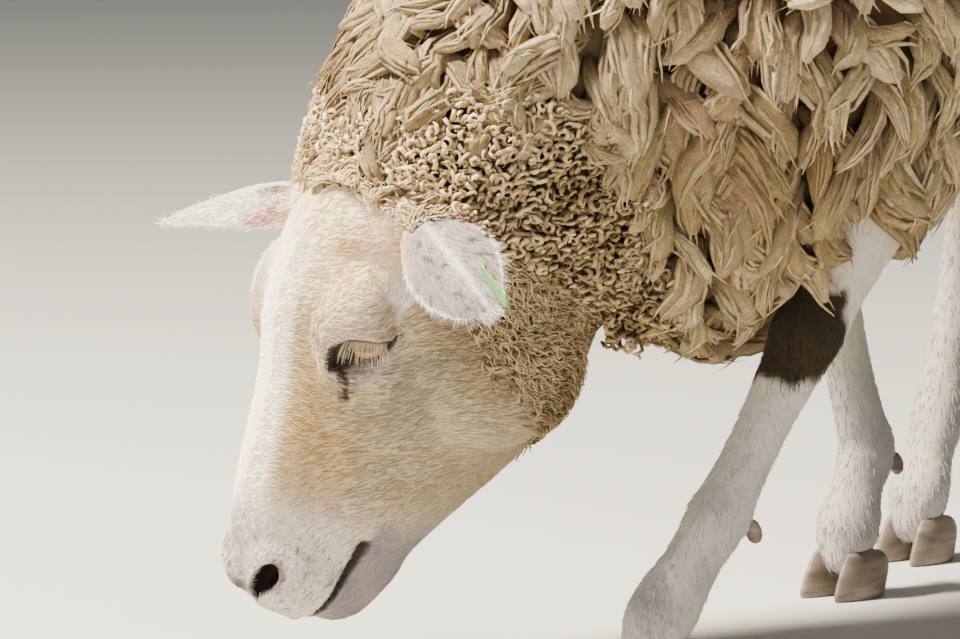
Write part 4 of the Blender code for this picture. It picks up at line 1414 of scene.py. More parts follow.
def growHair(skin, weights, part):
    shape = shortHair[part]
    count = shape["count"]
    rng = np.random.default_rng(shape["seed"])
    roots, normals = scatter(skin, weights, count, shape["seed"])
    ways = hairLie(roots, normals)
    across = np.cross(normals, ways)
    ways = unit(ways + across * rng.normal(0, shortHair["stray"], (count, 1)))
    length = faceLength(roots) if part == "face" else shape["length"]
    lengths = length * rng.uniform(0.7, 1.25, count)
    widths = shortHair["width"] * shape["slender"] * rng.uniform(0.75, 1.25, count)
    rises = shortHair["rise"] * shape["rise"] * rng.uniform(0.4, 1.6, count)
    kind = spikes(roots, normals, ways, lengths, widths, rises)
    root = coatTint(roots) * (1 + rng.normal(0, 0.10, (count, 1)))
    tint = root[:, None, :] * np.array((0.84, 0.84, 0.95, 1.12))[None, :, None]
    return kind, np.clip(tint, 0.01, 0.96), roots


def faceLength(roots):
    h = toHead(roots)
    near = ramp(0.17, 0.235, h[:, 1])
    away = np.full(len(roots), 1.0)
    for side in bothSides:
        away = np.minimum(away, inOpening(roots, side, eyeOpening)[1] / 3)
    cheek, muzzle = shortHair["face"]["length"]
    return (cheek * (1 - near) + muzzle * near) * (0.45 + 0.55 * ramp(0.33, 0.8, away))


# Lashes

lashes = {
    "upper": 54,
    "lower": 22,
    "upperLength": 0.0150,
    "lowerLength": 0.0050,
    "pale": (0.80, 0.66, 0.46),
    "dark": (0.05, 0.035, 0.03),
    "halfWidth": 0.00034,
    "span": 0.0125,  # half the width of the row
    "seed": 91,
}


def growLashes(side):
    rng = np.random.default_rng(lashes["seed"])
    span = lashes["span"]
    place = np.array(openingFrame(side, eyeShape))
    rim = closedRim(lidShape["margin"])
    sets = []
    for row in ("upper", "lower"):
        count, rings = lashes[row], 6
        across = np.linspace(-span, span, count) + rng.normal(0, 0.0002, count)
        guess = np.arctan2(np.where(row == "upper", 0.006, -0.009), across)
        for _ in range(6):
            guess = np.arctan2(np.abs(np.sin(guess)) * rim(guess) * (1 if row == "upper" else -1), across)
        away = rim(guess) * 1.02
        x, y = np.cos(guess) * away, np.sin(guess) * away
        z = np.sqrt(np.maximum((eyeShape["radius"] + 0.0016) ** 2 - x**2 - y**2, 0.010**2))
        start = np.column_stack([x, y, z])
        t = np.linspace(0, 1, rings)[None, :, None]
        length = lashes[row + "Length"] * rng.uniform(0.8, 1.15, (count, 1, 1))
        fan = (x / span * 0.30 + rng.normal(0, 0.07, count))[:, None, None]
        if row == "upper":
            bow = np.array((0, 0, 0.80)) * (t - 0.18 * t**2)
            bow = bow - np.array((0, 0.95, 0)) * (0.15 * t + 0.60 * t**2)
        else:
            bow = np.array((0, 0, 0.8)) * t - np.array((0, 0.8, 0)) * t
        path = start[:, None] + length * (bow + fan * np.array((1.0, 0, 0)) * t)
        path = moved(path, place)
        taper = np.interp(t[0, :, 0], (0, 0.3, 1), (0.9, 1.0, 0.15))
        width = lashes["halfWidth"] * taper * np.ones((count, 1))
        up = np.broadcast_to(place[:3, 1], path.shape)
        kind = tubes(path, up, width, width, 3)
        colour = np.array(lashes["pale" if row == "upper" else "dark"])
        tint = np.tile(colour, (count, len(kind["share"]), 1)) * rng.uniform(0.7, 1.1, (count, 1, 1))
        sets.append((kind, tint, path[:, 0]))
    return sets


# Tight curls of the neck, and the felted wool of cheeks and poll

shortWool = {
    "curls": 1600,
    "candidates": 24000,
    "seed": 51,
    "curlSpacing": 0.0040,
    "curlRadius": (0.0024, 0.0042),
    "curlThick": (0.0012, 0.0021),
    "curlRun": (0.001, 0.008),
    "tip": (0.92, 0.70, 0.40),
    # root: dark colour of the curls near the skin, painted shade between the curls
    "root": (0.14, 0.085, 0.038),
    # throatShade: darker brown low on the neck and cheek, painted shade towards the throat
    "throatShade": (0.27, 0.185, 0.09),
}
cheekTufts = {"count": 4200, "length": 0.010, "rings": 4, "lift": 0.0045, "curl": 0.22, "seed": 81}
pollTufts = {"count": 1500, "length": 0.015, "rings": 6, "lift": 0.009, "curl": 0.12, "seed": 82}


def shortWoolTint(roots, share, seed):
    rng = np.random.default_rng(seed)
    tip, root, throatShade = (np.array(shortWool[k]) for k in ("tip", "root", "throatShade"))
    h = toHead(roots)
    # darker low on the neck and cheek as painted shade, with random tone
    low = ramp(-0.02, -0.15, h[:, 2]) * 0.75 + 0.22 * ripples(roots, 0.05, seed + 1)
    low = np.clip(low + rng.normal(0, 0.14, len(roots)), 0, 1)[:, None, None]
    # darker towards the roots as painted shade between the curls
    t = ramp(0.0, 0.7, share)[None, :, None]
    tint = root * (1 - t) + (tip * (1 - low) + throatShade * low) * t
    return np.clip(tint * (1 + rng.normal(0, 0.08, (len(roots), 1, 1))), 0.02, 0.95)


def growCurls(skin):
    seed = shortWool["seed"]
    rng = np.random.default_rng(seed)
    roots, normals = scatter(skin, curlWool(skin["middles"]), shortWool["candidates"], seed)
    keep = thin(roots, shortWool["curlSpacing"] * rng.uniform(0.85, 1.2, len(roots)))[:shortWool["curls"]]
    roots, normals = roots[keep], normals[keep]
    count, rings = len(roots), 12
    way = woolLie(roots, normals) + 0.8 * rng.normal(size=(count, 3))
    way = alongSurface(way, normals)[:, None]
    side = np.cross(normals, way[:, 0])[:, None]
    depth = coatDepth(skin, roots, normals, 0.009, 0.026)[:, None]
    t = np.linspace(0, 1, rings)[None, :]
    phase = rng.uniform(0, 6.28, (count, 1))
    turn = rng.choice((-1, 1), (count, 1)) * t * 2 * np.pi
    turn = phase + turn * rng.uniform(1.2, 1.9, (count, 1))
    radius = rng.uniform(*shortWool["curlRadius"], (count, 1))
    radius = radius * np.interp(t, (0, 0.25, 0.8, 1), (0.5, 1, 1, 0.5))
    run = rng.uniform(*shortWool["curlRun"], (count, 1)) * (t - 0.3)
    axis = unit(way[:, 0] + normals * rng.uniform(-0.3, 1.8, (count, 1)))[:, None]
    first = unit(np.cross(axis, side))
    up = depth * np.interp(t, (0, 0.25, 1), (0.30, 0.60, 0.64))
    centres = roots[:, None] + normals[:, None] * up[..., None] + axis * run[..., None]
    centres = centres + side * (radius * np.cos(turn))[..., None]
    centres = centres + first * (radius * np.sin(turn))[..., None]
    thick = rng.uniform(*shortWool["curlThick"], (count, 1))
    thick = thick * np.interp(t, (0, 0.2, 0.8, 1), (0.8, 1, 1, 0.35))
    ups = np.broadcast_to(normals[:, None], centres.shape)
    kind = tubes(centres, ups, thick, thick * 0.9, 3)
    return kind, shortWoolTint(roots, kind["share"], seed + 1), roots


def growTufts(skin, weights, shape):
    rng = np.random.default_rng(shape["seed"])
    count, length, rings = shape["count"], shape["length"], shape["rings"]
    roots, normals = scatter(skin, weights, count, shape["seed"])
    lengths = length * rng.uniform(0.7, 1.3, count)
    places, facing = track(skin, roots, normals, tuftLie, lengths, rings, rng.normal(0, 0.6, count))
    t = np.linspace(0, 1, rings)[None, :]
    along = unit(np.gradient(places, axis=1))
    across = np.cross(along, facing)
    beat = rng.uniform(0, 6.28, (count, 1)) + t * rng.uniform(3, 6, (count, 1))
    bend = shape["curl"] * length * np.sin(beat) * t
    up = shape["lift"] * np.sqrt(t) * rng.uniform(0.5, 1.2, (count, 1)) + 0.3 * bend
    centres = places + facing * up[..., None] + across * bend[..., None]
    wide = length * 0.085 * rng.uniform(0.7, 1.3, (count, 1)) * np.interp(t, (0, 0.4, 1), (0.7, 1.0, 0.15))
    kind = tubes(centres, facing, wide, wide * 0.7, 3)
    return kind, shortWoolTint(roots, kind["share"], shape["seed"] + 2), roots


def tuftLie(points, normals):
    h = toHead(points)
    flow = np.column_stack([-0.35 * ramp(-0.05, 0.0, h[:, 2]), 0.25 + 0 * h[:, 0], -0.75 + 0 * h[:, 0]])
    flow[:, 0] += 0.6 * ripples(points, 0.03, 61)
    flow[:, 1] += 0.6 * ripples(points, 0.03, 62)
    return (flow * (1, -1, 1)) @ headTurn.T


# Fleece: flattened locks that hang in layers, each with finer wisps and single hairs on it

fleece = {
    "spacing": 0.0149,
    "candidates": 60000,
    "length": 0.044,
    "briskLength": 0.066,
    "backLength": 0.036,
    "halfWidth": (0.0058, 0.0108),
    "halfThickness": (0.0036, 0.0060),
    "rings": 7,
    "sides": 6,
    "lift": 0.86,  # height of the tips, as a share of the coat's depth
    "wander": 0.0046,
    "curl": 0.015,
    "groove": 0.10,
    "crimp": 0.0011,
    "wisps": 5,
    "fuzz": 17000,
    "fuzzLength": 0.011,
    "fuzzWidth": 0.0006,
    "spread": 0.55,
    "lockCoreShade": 0.86,  # darkening of the locks under their wisps: painted shade between the strands
    "tip": (0.96, 0.755, 0.455),
    # root: dark colour of the locks near the skin, painted shade deep among the overlapping locks
    "root": (0.15, 0.088, 0.038),
    # brownTip: browner colour that the tips take low on the body and at random
    "brownTip": (0.38, 0.255, 0.12),
    "seed": 11,
    "lockSeed": 21,  # this and the next two draw the tints
    "wispSeed": 22,
    "fuzzSeed": 23,
}


def woolLie(points, normals):
    ways = np.tile((0.0, 0.42, -1.0), (len(points), 1))
    ways[:, 0] += 0.35 * ripples(points, 0.24, 3)
    ways[:, 1] += 0.45 * ripples(points, 0.18, 4)
    ways[:, 1] += 0.55 * ramp(0.75, 1.0, normals[:, 2]) * ramp(-0.34, -0.22, points[:, 1])
    return ways


def woolTint(roots, share, seed, lighten=0.0):
    rng = np.random.default_rng(seed)
    tip, root, brownTip = (np.array(fleece[k]) for k in ("tip", "root", "brownTip"))
    # browner and darker low on the body, with random tone
    browning = 0.80 * ramp(0.62, 0.34, roots[:, 2]) + 0.30 * ripples(roots, 0.16, 22)
    browning = browning + rng.normal(0, 0.16, len(roots))
    browning = np.clip(browning + 0.08 - lighten, 0, 1)[:, None, None]
    tips = tip * (1 - browning) + brownTip * browning
    # darker towards the roots: painted shade among the locks, lighter at the tips
    t = ramp(0.02, 0.82, share)[None, :, None]
    tint = root * (1 - t) + tips * t
    tint = tint * (1 + rng.normal(0, 0.07, (len(roots), 1, 1)))
    return np.clip(tint + rng.normal(0, 0.008, (len(roots), 1, 3)), 0.02, 0.95)


def lockRoots(skin, rng):
    # where the locks stand, how long they are and how far each leaves the lie of the wool
    woolly = longWool(skin["middles"])
    roots, normals = scatter(skin, woolly, fleece["candidates"], fleece["seed"])
    h = toHead(roots)
    toEdge = ramp(0.0, 0.09, woolEdge(h) - h[:, 1])  # 0 beside the tight curls
    flow = woolLie(roots, normals)
    flow -= normals * (flow * normals).sum(axis=1, keepdims=True)
    weak = ramp(0.85, 0.35, np.linalg.norm(flow, axis=1))  # 1 where nothing combs the wool one way
    spacing = fleece["spacing"] * rng.uniform(0.80, 1.15, len(roots))
    spacing = spacing * (0.72 + 0.28 * toEdge) * (1 - 0.30 * weak)
    keep = thin(roots, spacing)
    roots, normals, toEdge, weak = roots[keep], normals[keep], toEdge[keep], weak[keep]
    brisk = ramp(0.50, 0.38, roots[:, 2]) * ramp(-0.10, -0.22, roots[:, 1])
    back = ramp(0.55, 0.85, normals[:, 2])
    length = fleece["length"] * (1 - back) + fleece["backLength"] * back
    length = (length * (1 - brisk) + fleece["briskLength"] * brisk) * rng.uniform(0.72, 1.25, len(roots))
    length *= 0.50 + 0.50 * toEdge
    spread = rng.normal(0, 1, len(roots)) * (fleece["spread"] + 1.3 * weak)
    return roots, normals, length, spread


def growLocks(skin, rng):
    roots, normals, length, spread = lockRoots(skin, rng)
    count, rings = len(roots), fleece["rings"]
    places, facing = track(skin, roots, normals, woolLie, length, rings, spread)
    depth = coatDepth(skin, places.reshape(-1, 3), facing.reshape(-1, 3), 0.010, 0.046).reshape(count, rings)
    depth = (depth + 2 * depth.mean(axis=1, keepdims=True)) / 3
    t = np.linspace(0, 1, rings)
    lift = depth * (0.08 + (fleece["lift"] - 0.08) * t**0.7) * rng.uniform(0.70, 1.10, (count, 1))
    along = unit(np.gradient(places, axis=1))
    across = unit(np.cross(along, facing))
    phase = rng.uniform(0, 6.28, (count, 1))
    wave = np.sin(phase + t * rng.uniform(5.5, 10.0, (count, 1))) * fleece["wander"] * (0.3 + t)
    beats = rng.uniform(150, 240, count) * length
    hook = fleece["curl"] * rng.normal(0.1, 0.6, (count, 1)) * ramp(0.55, 1.0, t) * t
    tuck = -0.006 * rng.random((count, 1)) * ramp(0.75, 1.0, t)
    centres = places + facing * (lift + tuck)[..., None] + across * (wave + hook)[..., None]
    for _ in range(2):
        centres[:, 1:-1] = 0.25 * (centres[:, :-2] + centres[:, 2:]) + 0.5 * centres[:, 1:-1]
    scale = (length / fleece["length"])[:, None] ** 0.7
    profile = np.interp(t, (0, 0.15, 0.45, 0.78, 0.93, 1.0), (0.45, 0.80, 1.0, 0.96, 0.74, 0.30))
    width = rng.uniform(*fleece["halfWidth"], (count, 1)) * profile * scale
    thick = rng.uniform(*fleece["halfThickness"], (count, 1))
    thick = thick * np.interp(t, (0, 0.5, 0.85, 1), (0.7, 1.0, 0.7, 0.3)) * scale
    # grooves that run down the lock, and its twist
    angle = 2 * np.pi * np.arange(fleece["sides"]) / fleece["sides"]
    turn = rng.uniform(0, 6.28, (2, count, 1, 1))
    lumps = 1 + fleece["groove"] * np.cos(3 * angle + turn[0]) * rng.uniform(0.4, 1.1, (count, 1, 1))
    lumps = lumps + 0.6 * fleece["groove"] * np.cos(5 * angle + turn[1])
    twist = rng.normal(0, 0.30, (count, 1, 1)) + rng.normal(0, 0.6, (count, 1, 1)) * t[None, :, None]
    kind = tubes(centres, facing + across * twist, width, thick, fleece["sides"], lumps)
    locks = dict(roots=roots, length=length, centres=centres, facing=facing, along=along, across=across)
    return dict(locks, width=width, thick=thick, phase=phase, beats=beats, tubes=kind)


def growWisps(locks, rng):
    # each leaves its lock part of the way down and reaches a little past the tip
    roots, width = locks["roots"], locks["width"]
    copies, last = fleece["wisps"], fleece["rings"] - 1
    pick = np.repeat(np.arange(len(roots)), copies)
    start = rng.uniform(0.02, 0.35, (len(pick), 1))
    reach = rng.uniform(0.88, 1.16, (len(pick), 1))
    w = np.array((0, 0.34, 0.62, 0.83, 1.0))  # places along a wisp
    s = start + (reach - start) * w  # the same places along its lock
    spot = np.clip(s, 0, 1) * last
    low = np.minimum(spot.astype(int), last - 1)
    part = (spot - low)[..., None]
    rows = np.arange(len(pick))[:, None]

    def sample(values):
        values = values[pick]
        return values[rows, low] * (1 - part) + values[rows, low + 1] * part

    centre, up = sample(locks["centres"]), unit(sample(locks["facing"]))
    side, ahead = unit(sample(locks["across"])), unit(sample(locks["along"]))
    beyond = (s - np.clip(s, 0, 1))[..., None] * locks["length"][pick][:, None, None] * ahead
    swing = (np.tile(np.arange(copies), len(roots)) + rng.random(len(pick)))[:, None] / copies * 2 - 1
    beat = locks["phase"][pick] + s * locks["beats"][pick][:, None]
    crimp = fleece["crimp"] * np.sin(beat + rng.normal(0, 0.5, (len(pick), 1)))
    stray = rng.normal(0, 0.0040, (len(pick), 1)) * w**2
    stray = stray + rng.normal(0, 0.0035, (len(pick), 1)) * ramp(0.6, 1.0, w)
    sideways = swing * sample(width[..., None])[..., 0] * 0.96 + crimp + stray
    bulge = np.sqrt(1 - 0.9 * swing**2)
    thick = sample(locks["thick"][..., None])[..., 0]
    outward = thick * bulge * 0.95 + 0.6 * crimp + 0.0004 + 0.4 * stray
    centre = centre + beyond + side * sideways[..., None] + up * outward[..., None]
    wide = width.max(axis=1)[pick][:, None] / copies * rng.uniform(0.8, 1.7, (len(pick), 1))
    wide = wide * np.interp(w, (0, 0.25, 0.7, 1), (0.25, 1, 0.75, 0.12))
    kind = tubes(centre, up, wide, wide * 0.42, 3)
    tone = 1 + 0.10 * rng.normal(size=(len(pick), 1, 1))
    # the wisps are drawn lighter than the darkened lock cores, to set them off from that painted shade
    tint = woolTint(roots[pick], 0.30 + 0.70 * kind["share"], fleece["wispSeed"], 0.14)
    return kind, np.clip(tint * tone, 0.02, 0.96), roots[pick]


def growFuzz(locks, rng):
    # single hairs that stand a little off the locks
    count, rings, sides = len(locks["roots"]), fleece["rings"], fleece["sides"]
    lock = np.repeat(np.arange(count), fleece["fuzz"] // count)
    ring = rng.integers(2, rings, len(lock))
    corner = rng.integers(0, sides, len(lock))
    start = locks["tubes"]["points"][lock, 1 + ring * sides + corner]
    out = unit(start - locks["centres"][lock, ring])
    way = unit(locks["along"][lock, ring] + 0.45 * rng.normal(size=(len(lock), 3)) + 0.2 * out)
    lengths = fleece["fuzzLength"] * rng.uniform(0.5, 1.4, len(lock))
    widths = np.full(len(lock), fleece["fuzzWidth"])
    kind = spikes(start - way * 0.002, out, way, lengths, widths, rng.uniform(0.0, 0.2, len(lock)))
    share = np.array((0.6, 0.6, 0.7, 1.0))
    roots = locks["roots"][lock]
    return kind, woolTint(roots, share, fleece["fuzzSeed"], 0.2), roots


def growFleece(skin):
    rng = np.random.default_rng(fleece["seed"])
    locks = growLocks(skin, rng)
    roots, kind = locks["roots"], locks["tubes"]
    # the lock cores are darkened as painted shade under their wisps
    tint = woolTint(roots, kind["share"], fleece["lockSeed"]) * fleece["lockCoreShade"]
    return (kind, tint, roots), growWisps(locks, rng), growFuzz(locks, rng)


def chosenOf(parts, chosen):
    # the strands of a set that belong to one piece
    kind, tint, roots = parts
    part = dict(kind, points=kind["points"][chosen], local=kind["local"][chosen])
    return part, tint[chosen], roots[chosen]


woolParts = {
    "middleLine": ((-0.37, -0.05), (-0.108, 0.0)),  # from the poll to the withers: behind, left
    "napeEnd": -0.13,  # noseward of the poll
    "neckEnd": -0.25,
    "spans": (("shoulder", -1, -0.04), ("flank", -0.04, 0.16), ("loin", 0.16, 0.32), ("rump", 0.32, 2)),
}


def woolRegions(roots):
    h = toHead(roots)
    middle = shift.x + np.interp(roots[:, 1] - shift.y, *woolParts["middleLine"])
    left = roots[:, 0] > middle
    neck = h[:, 1] > woolParts["neckEnd"]
    nape = h[:, 1] > woolParts["napeEnd"]
    parts = {}
    for side, here in (("left", left), ("right", ~left)):
        parts[f"fleece_nape_{side}"] = here & nape
        parts[f"fleece_neck_{side}"] = here & neck & ~nape
        for name, low, high in woolParts["spans"]:
            parts[f"fleece_{name}_{side}"] = here & ~neck & (roots[:, 1] >= low) & (roots[:, 1] < high)
    return parts


# Eyes: amber, with the level slot of a sheep's pupil

eyeball = {
    "bulge": 0.0007,
    "gaze": (0.10, -0.05, 1.0),
    "irisReach": 37.0,  # degrees from the middle of the eye
    "pupil": (0.0054, 0.0021),
    "amber": (0.50, 0.27, 0.085),
    "amberDark": (0.17, 0.075, 0.025),
    "limbus": (0.020, 0.013, 0.010),
    "white": (0.23, 0.15, 0.12),
    "slotDark": (0.006, 0.005, 0.006),
}


def eyePiece(side):
    place = openingFrame(side, eyeShape)
    look = Vector(eyeball["gaze"]).normalized()
    right = Vector((1, 0, 0))
    right = (right - look * right.dot(look)).normalized()
    turn = Matrix((right, look.cross(right), look)).transposed()
    angles = np.radians(np.concatenate([np.linspace(1.0, 46, 36), np.linspace(49, 179, 36)]))
    around = 2 * np.pi * np.arange(96) / 96
    bm = bmesh.new()
    loops, spots = [], []
    for a in angles:
        radius = eyeShape["radius"] - 0.0002 + eyeball["bulge"] * math.exp(-((a / 0.55) ** 4))
        loop = []
        for b in around:
            spot = Vector((math.sin(a) * math.cos(b), math.sin(a) * math.sin(b), math.cos(a))) * radius
            loop.append(bm.verts.new(place @ (turn @ spot)))
            spots.append((*spot, a))
        loops.append(loop)
    closeLoops(bm, loops)
    made = meshObject(f"eye_{side}_detail", bm)
    # colours by the angle from the middle of the iris
    local = np.array(spots + [(0, 0, eyeShape["radius"], 0), (0, 0, -eyeShape["radius"], math.pi)])
    degrees = np.degrees(local[:, 3])
    b = np.arctan2(local[:, 1], local[:, 0])
    iris = eyeball["irisReach"]
    rays = 0.5 + 0.5 * np.sin(b * 34 + 2.2 * np.sin(b * 9)) * np.sin(b * 21 + 1)
    streaks = np.clip(0.25 + 0.45 * rays * ramp(8, 26, degrees) - 0.25 * ramp(10, 22, degrees), 0, 1)
    tint = mixed(np.array(eyeball["amber"]), eyeball["amberDark"], streaks)
    tint = mixed(tint, eyeball["limbus"], ramp(iris - 6, iris - 0.5, degrees))
    tint = mixed(tint, eyeball["white"], ramp(iris, iris + 5, degrees))
    wide, high = eyeball["pupil"]
    oval = (np.abs(local[:, 0]) / wide) ** 3 + (np.abs(local[:, 1]) / high) ** 3
    pupil = ramp(1.12, 0.92, oval ** (1 / 3)) * (degrees < 60)
    colourPoints(made.data, mixed(tint, eyeball["slotDark"], pupil))
    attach(made, "root")
    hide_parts(f"eye_{side}")
    return made


# Claws and tag: finer shapes in place of their solids

clawShape = {"rings": 0.00015, "ringSize": 0.0042, "crease": 0.1, "soleCrease": 0.75, "levels": 3}


def clawPiece(name):
    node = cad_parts[name]
    bm = bmesh.new()
    bm.from_mesh(node.data)
    bmesh.ops.remove_doubles(bm, verts=bm.verts, dist=1e-5)
    bmesh.ops.dissolve_limit(bm, angle_limit=math.radians(1), verts=bm.verts, edges=bm.edges)
    crease = bm.edges.layers.float.new("crease_edge")
    for edge in bm.edges:
        low = all(v.co.z < 0.002 for v in edge.verts)
        edge[crease] = clawShape["soleCrease" if low else "crease"]
    made = meshObject(name + "_horn", bm)
    modifier = made.modifiers.new("Round", "SUBSURF")
    modifier.levels = modifier.render_levels = clawShape["levels"]
    applyModifiers(made)
    points, normals = pointsOf(made.data), normalsOf(made.data)
    z = points[:, 2] + 0.10 * points[:, 1]
    swell = np.sin(z * 2 * np.pi / clawShape["ringSize"] + 1.5 * ripples(points, 0.03, 95))
    share = ramp(0.003, 0.008, points[:, 2])
    points += normals * (clawShape["rings"] * (swell - 1) * share)[:, None]
    points[:, 2] = np.maximum(points[:, 2], 0.0)
    movePoints(made.data, points)
    made.data.shade_smooth()
    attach(made, "root")
    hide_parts(name)
    return made


tagShape = {
    "turn": 58.0,
    "stand": 0.0060,
    "drop": 0.004,
    "thick": 0.0010,
    "swing": (0.16, 0.14, 0.0),
    # share of the length, half width, bow
    "rows": (
        (0.0, 0.0028, 0.0),
        (0.10, 0.0042, 0.0003),
        (0.28, 0.0036, 0.0007),
        (0.55, 0.0046, 0.0004),
        (0.85, 0.0056, -0.0004),
        (0.97, 0.0044, -0.0008),
        (1.0, 0.0016, -0.0009),
    ),
    # radius and level of each ring of the stud
    "stud": (
        (0.0012, -0.012),
        (0.0016, -0.006),
        (0.0016, -0.001),
        (0.0034, 0.0),
        (0.0036, 0.0010),
        (0.0026, 0.0020),
        (0.0010, 0.0025),
    ),
}


def tagPiece():
    # a folded flag on a stud, hung on the line of its solid but turned edge on
    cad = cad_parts["ear_tag"].data
    points = np.array([v.co for v in cad.vertices])
    centre = points.mean(axis=0)
    ways = np.linalg.svd(points - centre)[2]
    long = Vector(ways[0] * -np.sign(ways[0][2]))  # towards the hanging end
    long = (long + Vector(tagShape["swing"])).normalized()
    out = earFrame("left").to_3x3() @ Vector((0, 0, 1))
    out = (out - long * out.dot(long)).normalized()
    flat = long.cross(out)
    turn = Matrix.Rotation(math.radians(tagShape["turn"]), 3, long)
    wide, thin = turn @ flat, turn @ out
    run = (points - centre) @ np.array(long)
    start = Vector(centre) + long * float(run.min()) + out * tagShape["stand"]
    start += Vector((0, 0, -tagShape["drop"]))
    length = float(run.max() - run.min())
    bm = bmesh.new()
    loops = []
    for share, half, bow in spline(tagShape["rows"], 6):
        middle = start + long * (length * share) + thin * bow
        thick = tagShape["thick"] * (1.5 if share < 0.16 else 1.0)
        loop = []
        for k in range(24):
            a = 2 * math.pi * k / 24
            x = half * math.copysign(abs(math.cos(a)) ** 0.45, math.cos(a))
            z = thick * math.copysign(abs(math.sin(a)) ** 0.45, math.sin(a))
            loop.append(bm.verts.new(middle + wide * x + thin * z))
        loops.append(loop)
    closeLoops(bm, loops)
    # the stud through the ear, with a domed head
    loops = []
    base = start + long * 0.004
    for radius, z in tagShape["stud"]:
        loop = []
        for a in np.arange(20) * 2 * math.pi / 20:
            spoke = long * math.cos(a) + flat * math.sin(a)
            loop.append(bm.verts.new(base + out * z + spoke * radius))
        loops.append(loop)
    closeLoops(bm, loops)
    made = meshObject("tag_flag", bm)
    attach(made, "root")
    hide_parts("ear_tag")
    return made


# Materials

def newGroup(name, inputs, outputs):
    group = bpy.data.node_groups.new(name, "ShaderNodeTree")
    for label, kind, value in inputs:
        socket = group.interface.new_socket(name=label, in_out="INPUT", socket_type=kind)
        if value is not None:
            socket.default_value = value
    for label, kind in outputs:
        group.interface.new_socket(name=label, in_out="OUTPUT", socket_type=kind)
    return group, group.nodes.new("NodeGroupInput"), group.nodes.new("NodeGroupOutput")


def addNode(tree, kind, values, operation=None):
    # a node whose inputs are linked where a socket is given, and set where a value is given
    node = tree.nodes.new(kind)
    if operation:
        node.operation = operation
    for label, value in values.items():
        if isinstance(value, bpy.types.NodeSocket):
            tree.links.new(value, node.inputs[label])
        else:
            node.inputs[label].default_value = value
    return node


def fibreGroup():
    # fine fibres that run along a strand: a tint for its colour and a height for its relief
    inputs = (
        ("Vector", "NodeSocketVector", None),
        ("Color", "NodeSocketColor", (0.8, 0.8, 0.8, 1)),
        ("Fibres", "NodeSocketFloat", 1200.0),
        ("Stretch", "NodeSocketFloat", 0.05),
        ("Contrast", "NodeSocketFloat", 0.4),
        ("Crimp", "NodeSocketFloat", 0.0),  # how far slow waves sway the fibres, in metres
    )
    outputs = (("Color", "NodeSocketColor"), ("Height", "NodeSocketFloat"))
    group, start, end = newGroup("wool_fibre", inputs, outputs)
    given = start.outputs
    waves = {"Vector": given["Vector"], "Scale": 110, "Detail": 1.0}
    drift = addNode(group, "ShaderNodeTexNoise", waves)
    swing = {0: drift.outputs["Color"], "Scale": given["Crimp"]}
    sway = addNode(group, "ShaderNodeVectorMath", swing, "SCALE")
    waved = addNode(group, "ShaderNodeVectorMath", {0: given["Vector"], 1: sway.outputs[0]}, "ADD")
    parts = addNode(group, "ShaderNodeSeparateXYZ", {0: waved.outputs[0]}).outputs
    along = addNode(group, "ShaderNodeMath", {0: parts["Z"], 1: given["Stretch"]}, "MULTIPLY")
    axes = {"X": parts["X"], "Y": parts["Y"], "Z": along.outputs[0]}
    join = addNode(group, "ShaderNodeCombineXYZ", axes)
    heights = []
    for share, detail in ((1.0, 2.0), (0.33, 3.0)):
        scale = addNode(group, "ShaderNodeMath", {0: given["Fibres"], 1: share}, "MULTIPLY")
        fibres = {"Vector": join.outputs[0], "Scale": scale.outputs[0], "Detail": detail}
        heights.append(addNode(group, "ShaderNodeTexNoise", fibres).outputs["Fac"])
    both = addNode(group, "ShaderNodeMath", {0: heights[0], 1: heights[1]}, "ADD")
    centred = addNode(group, "ShaderNodeMath", {0: both.outputs[0], 1: 1.0}, "SUBTRACT")
    shares = {0: centred.outputs[0], 1: given["Contrast"], 2: 1.0}
    amount = addNode(group, "ShaderNodeMath", shares, "MULTIPLY_ADD")
    tint = addNode(group, "ShaderNodeVectorMath", {0: given["Color"], "Scale": amount.outputs[0]}, "SCALE")
    group.links.new(tint.outputs[0], end.inputs["Color"])
    group.links.new(both.outputs[0], end.inputs["Height"])
    return group


def newMaterial(name, values):
    material = bpy.data.materials.new(name)
    material.use_nodes = True
    shader = material.node_tree.nodes["Principled BSDF"]
    for label, value in values.items():
        shader.inputs[label].default_value = value
    return material, material.node_tree, shader


def addBump(tree, shader, height, distance, strength):
    values = {"Height": height, "Distance": distance, "Strength": strength}
    bump = addNode(tree, "ShaderNodeBump", values)
    tree.links.new(bump.outputs["Normal"], shader.inputs["Normal"])


def attribute(tree, name):
    node = tree.nodes.new("ShaderNodeAttribute")
    node.attribute_name = name
    return node


def addFibres(tree, shader, fibre, place, values):
    # the coat's own colours, streaked with fibres
    group = tree.nodes.new("ShaderNodeGroup")
    group.node_tree = fibre
    for label, value in zip(("Fibres", "Stretch", "Contrast", "Crimp"), values):
        group.inputs[label].default_value = value
    tree.links.new(attribute(tree, "coat").outputs["Color"], group.inputs["Color"])
    tree.links.new(place, group.inputs["Vector"])
    tree.links.new(group.outputs["Color"], shader.inputs["Base Color"])
    return group.outputs["Height"]


def coatMaterial(name, fibre, look):
    roughness, specular, sheen = look["gloss"]
    material, tree, shader = newMaterial(name, {
        "Roughness": roughness,
        "Specular IOR Level": specular,
        "Sheen Weight": sheen,
        "Sheen Roughness": 0.5,
        "Sheen Tint": (1.0, 0.82, 0.55, 1),
    })
    place = attribute(tree, "strand").outputs["Vector"]
    height = addFibres(tree, shader, fibre, place, look["fibre"])
    addBump(tree, shader, height, *look["relief"])
    return material


